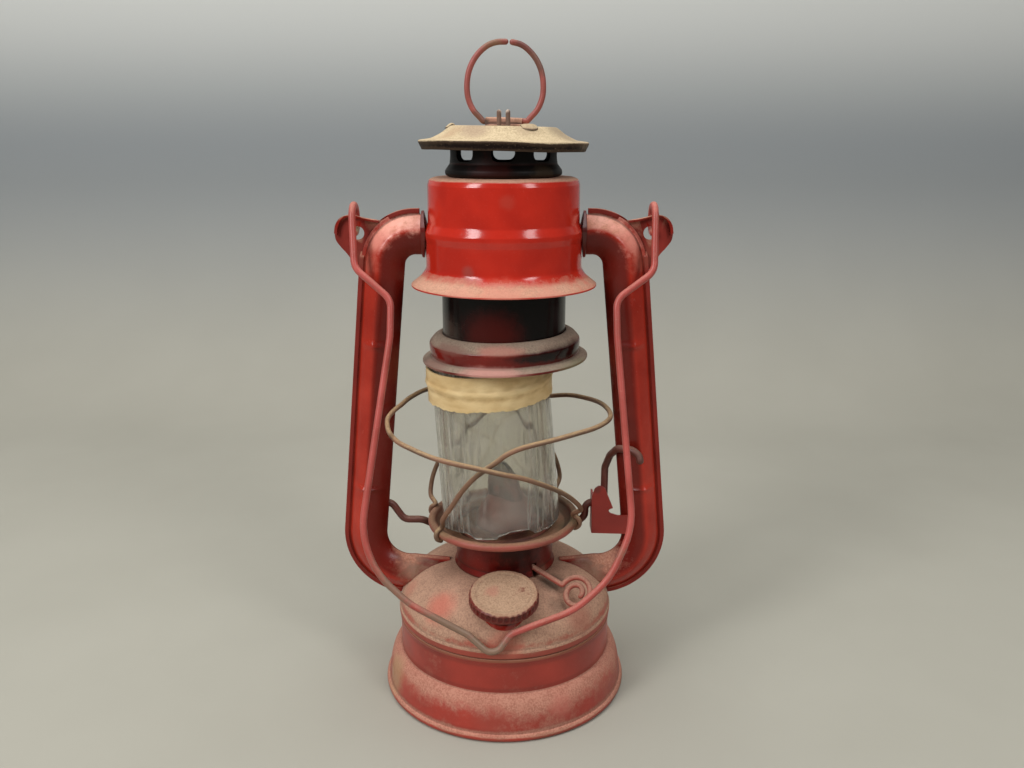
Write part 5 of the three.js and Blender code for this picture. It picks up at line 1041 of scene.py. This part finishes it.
# Stop wire: a hairpin of 2.3 mm steel wire inside the cap whose two ends stand up through it, pitted brown with rust
# and pale at the tips.
stop_path = finer(eased([[-2.2, -2.5, 311.2], [-2.2, -2.5, 300.8], [2.2, -2.5, 300.8], [2.2, -2.5, 311.2]], 2), 0.7)
stop_wire = dress(build("stop_wire_prongs", wire(stop_path, 1.15)), enamel(
    "pitted_rust_prongs", "6a483b", "41291f", dust=("b09a86", "6b5244"), dusty=(0.0, 1.0, 0.7), freckle=0.8,
    pale="a58b7c", worn=0.0, gloss=0.6, film=0.15, stains=[(0, -2.5, 312.3, 3.4, "cdbcab", 0.9)]))
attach(stop_wire, "hood")
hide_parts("stop_wire")

# Lift ring: a ring of 2.9 mm wire that runs straight through the bridge, and whose two ends stop just short of each
# other at the top. It lifts the whole hood. Its red has faded to rose and browned near the cap and at the top.
ring_right = np.array([[3.6, 37.0], [7.5, 36.0], [13.0, 31.9], [17.3, 25.0], [18.8, 17.5], [18.3, 11.0], [15.6, 5.0],
                       [12.5, 1.7]])
ring_left = ring_right[:0:-1] * [-1, 1]
ring_side = through(ring_right, 60)
ring_rest = through(np.concatenate([ring_left, [[-3.5, 37.1], [0.2, 37.2]]]), 62)
ring_foot = eased([ring_side[-1], [11.0, 0], [-11.0, 0], ring_rest[0]], 1.5)[1:-1]
ring_path = np.insert(np.concatenate([ring_side, ring_foot, ring_rest]), 1, 0, axis=1) + [0.8, ring_back, ring_height]
lift_ring = dress(build("lift_ring_wire", wire(finer(ring_path, 1.0), 1.45)), enamel(
    "faded_red_enamel_ring", "a8524c", "7d372f", dust=("b98a76", "7d5a4a"), dusty=(0.3, 1.2, 0.6), freckle=0.3,
    pale="cc988a", worn=0.1, film=0.05, gloss=0.38, stains=[
        (-10, 4, 309, 7, "5a4234", 0.8), (17, 4, 335, 9, "5c4436", 0.8), (9, 4, 342, 7, "5a3028", 0.8),
        (-6, 4, 344, 8, "7f6048", 0.8)]))
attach(lift_ring, "lift_ring")
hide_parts("lift_ring")

# Bail: the hanging handle, bent from 3.5 mm steel wire, with an eye through each ear and a notch in the middle that
# keeps it on a hook. Rose-red paint is left on its upper runs, and the lower left run is worn to brown steel.
eye_height, eye_bend, bail_reach, bail_drop, bail_hang = 259.15, 7.05, 75.9, 218, 14.6
bail_sine, bail_cosine = math.sin(math.radians(bail_hang)), math.cos(math.radians(bail_hang))
bail_way = np.array([bail_reach, -bail_drop * bail_sine, -bail_drop * bail_cosine])
bail_start = [0, -eye_bend * bail_cosine, eye_height + eye_bend * bail_sine]
bail_shares = np.array([
    [-1, 0], [-0.985, 0.117], [-0.745, 0.19], [-0.75, 0.275], [-0.942, 0.725], [-0.85, 0.82], [-0.62, 0.893],
    [-0.237, 0.963], [-0.066, 1.016], [0.046, 0.961], [0.474, 0.906], [0.705, 0.833], [0.854, 0.716], [0.75, 0.275],
    [0.745, 0.19], [0.995, 0.126], [1, 0]])
bail_bends = [0, 9, 9, 42, 42, 42, 42, 6, 6, 6, 42, 42, 42, 42, 9, 9, 0]
bail_run = eased(bail_start + bail_shares[:, [0, 1, 1]] * bail_way, bail_bends, turn_step=6)
eye = np.insert(arc((0, eye_height), eye_bend, 180 - bail_hang, -92 - bail_hang, 50)[1:], 0, 0, axis=1)
bail_path = np.concatenate([(eye - [bail_reach, 0, 0])[::-1], bail_run, eye + [bail_reach, 0, 0]])
bail = dress(build("bail_wire", wire(finer(bail_path, 1.5), 1.75)), enamel(
    "faded_red_enamel_bail", "b8504a", "9a352c", dust=("c88a78", "93604f"), dusty=(0.2, 1.0, 0.6), freckle=0.3,
    pale="e0aa9c", worn=0.05, film=0.08, gloss=0.3, stains=[
        (-54, -50, 84, 22, "7d6653", 0.85), (-32, -58, 60, 24, "7d6653", 0.95), (-10, -60, 46, 22, "806956", 0.95),
        (60, -46, 96, 8, "8a6b55", 0.8), (-75, 2, 254, 7, "93805a", 0.8), (76, -3, 258, 7, "9a7a58", 0.8)]))
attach(bail, "bail")
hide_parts("bail")
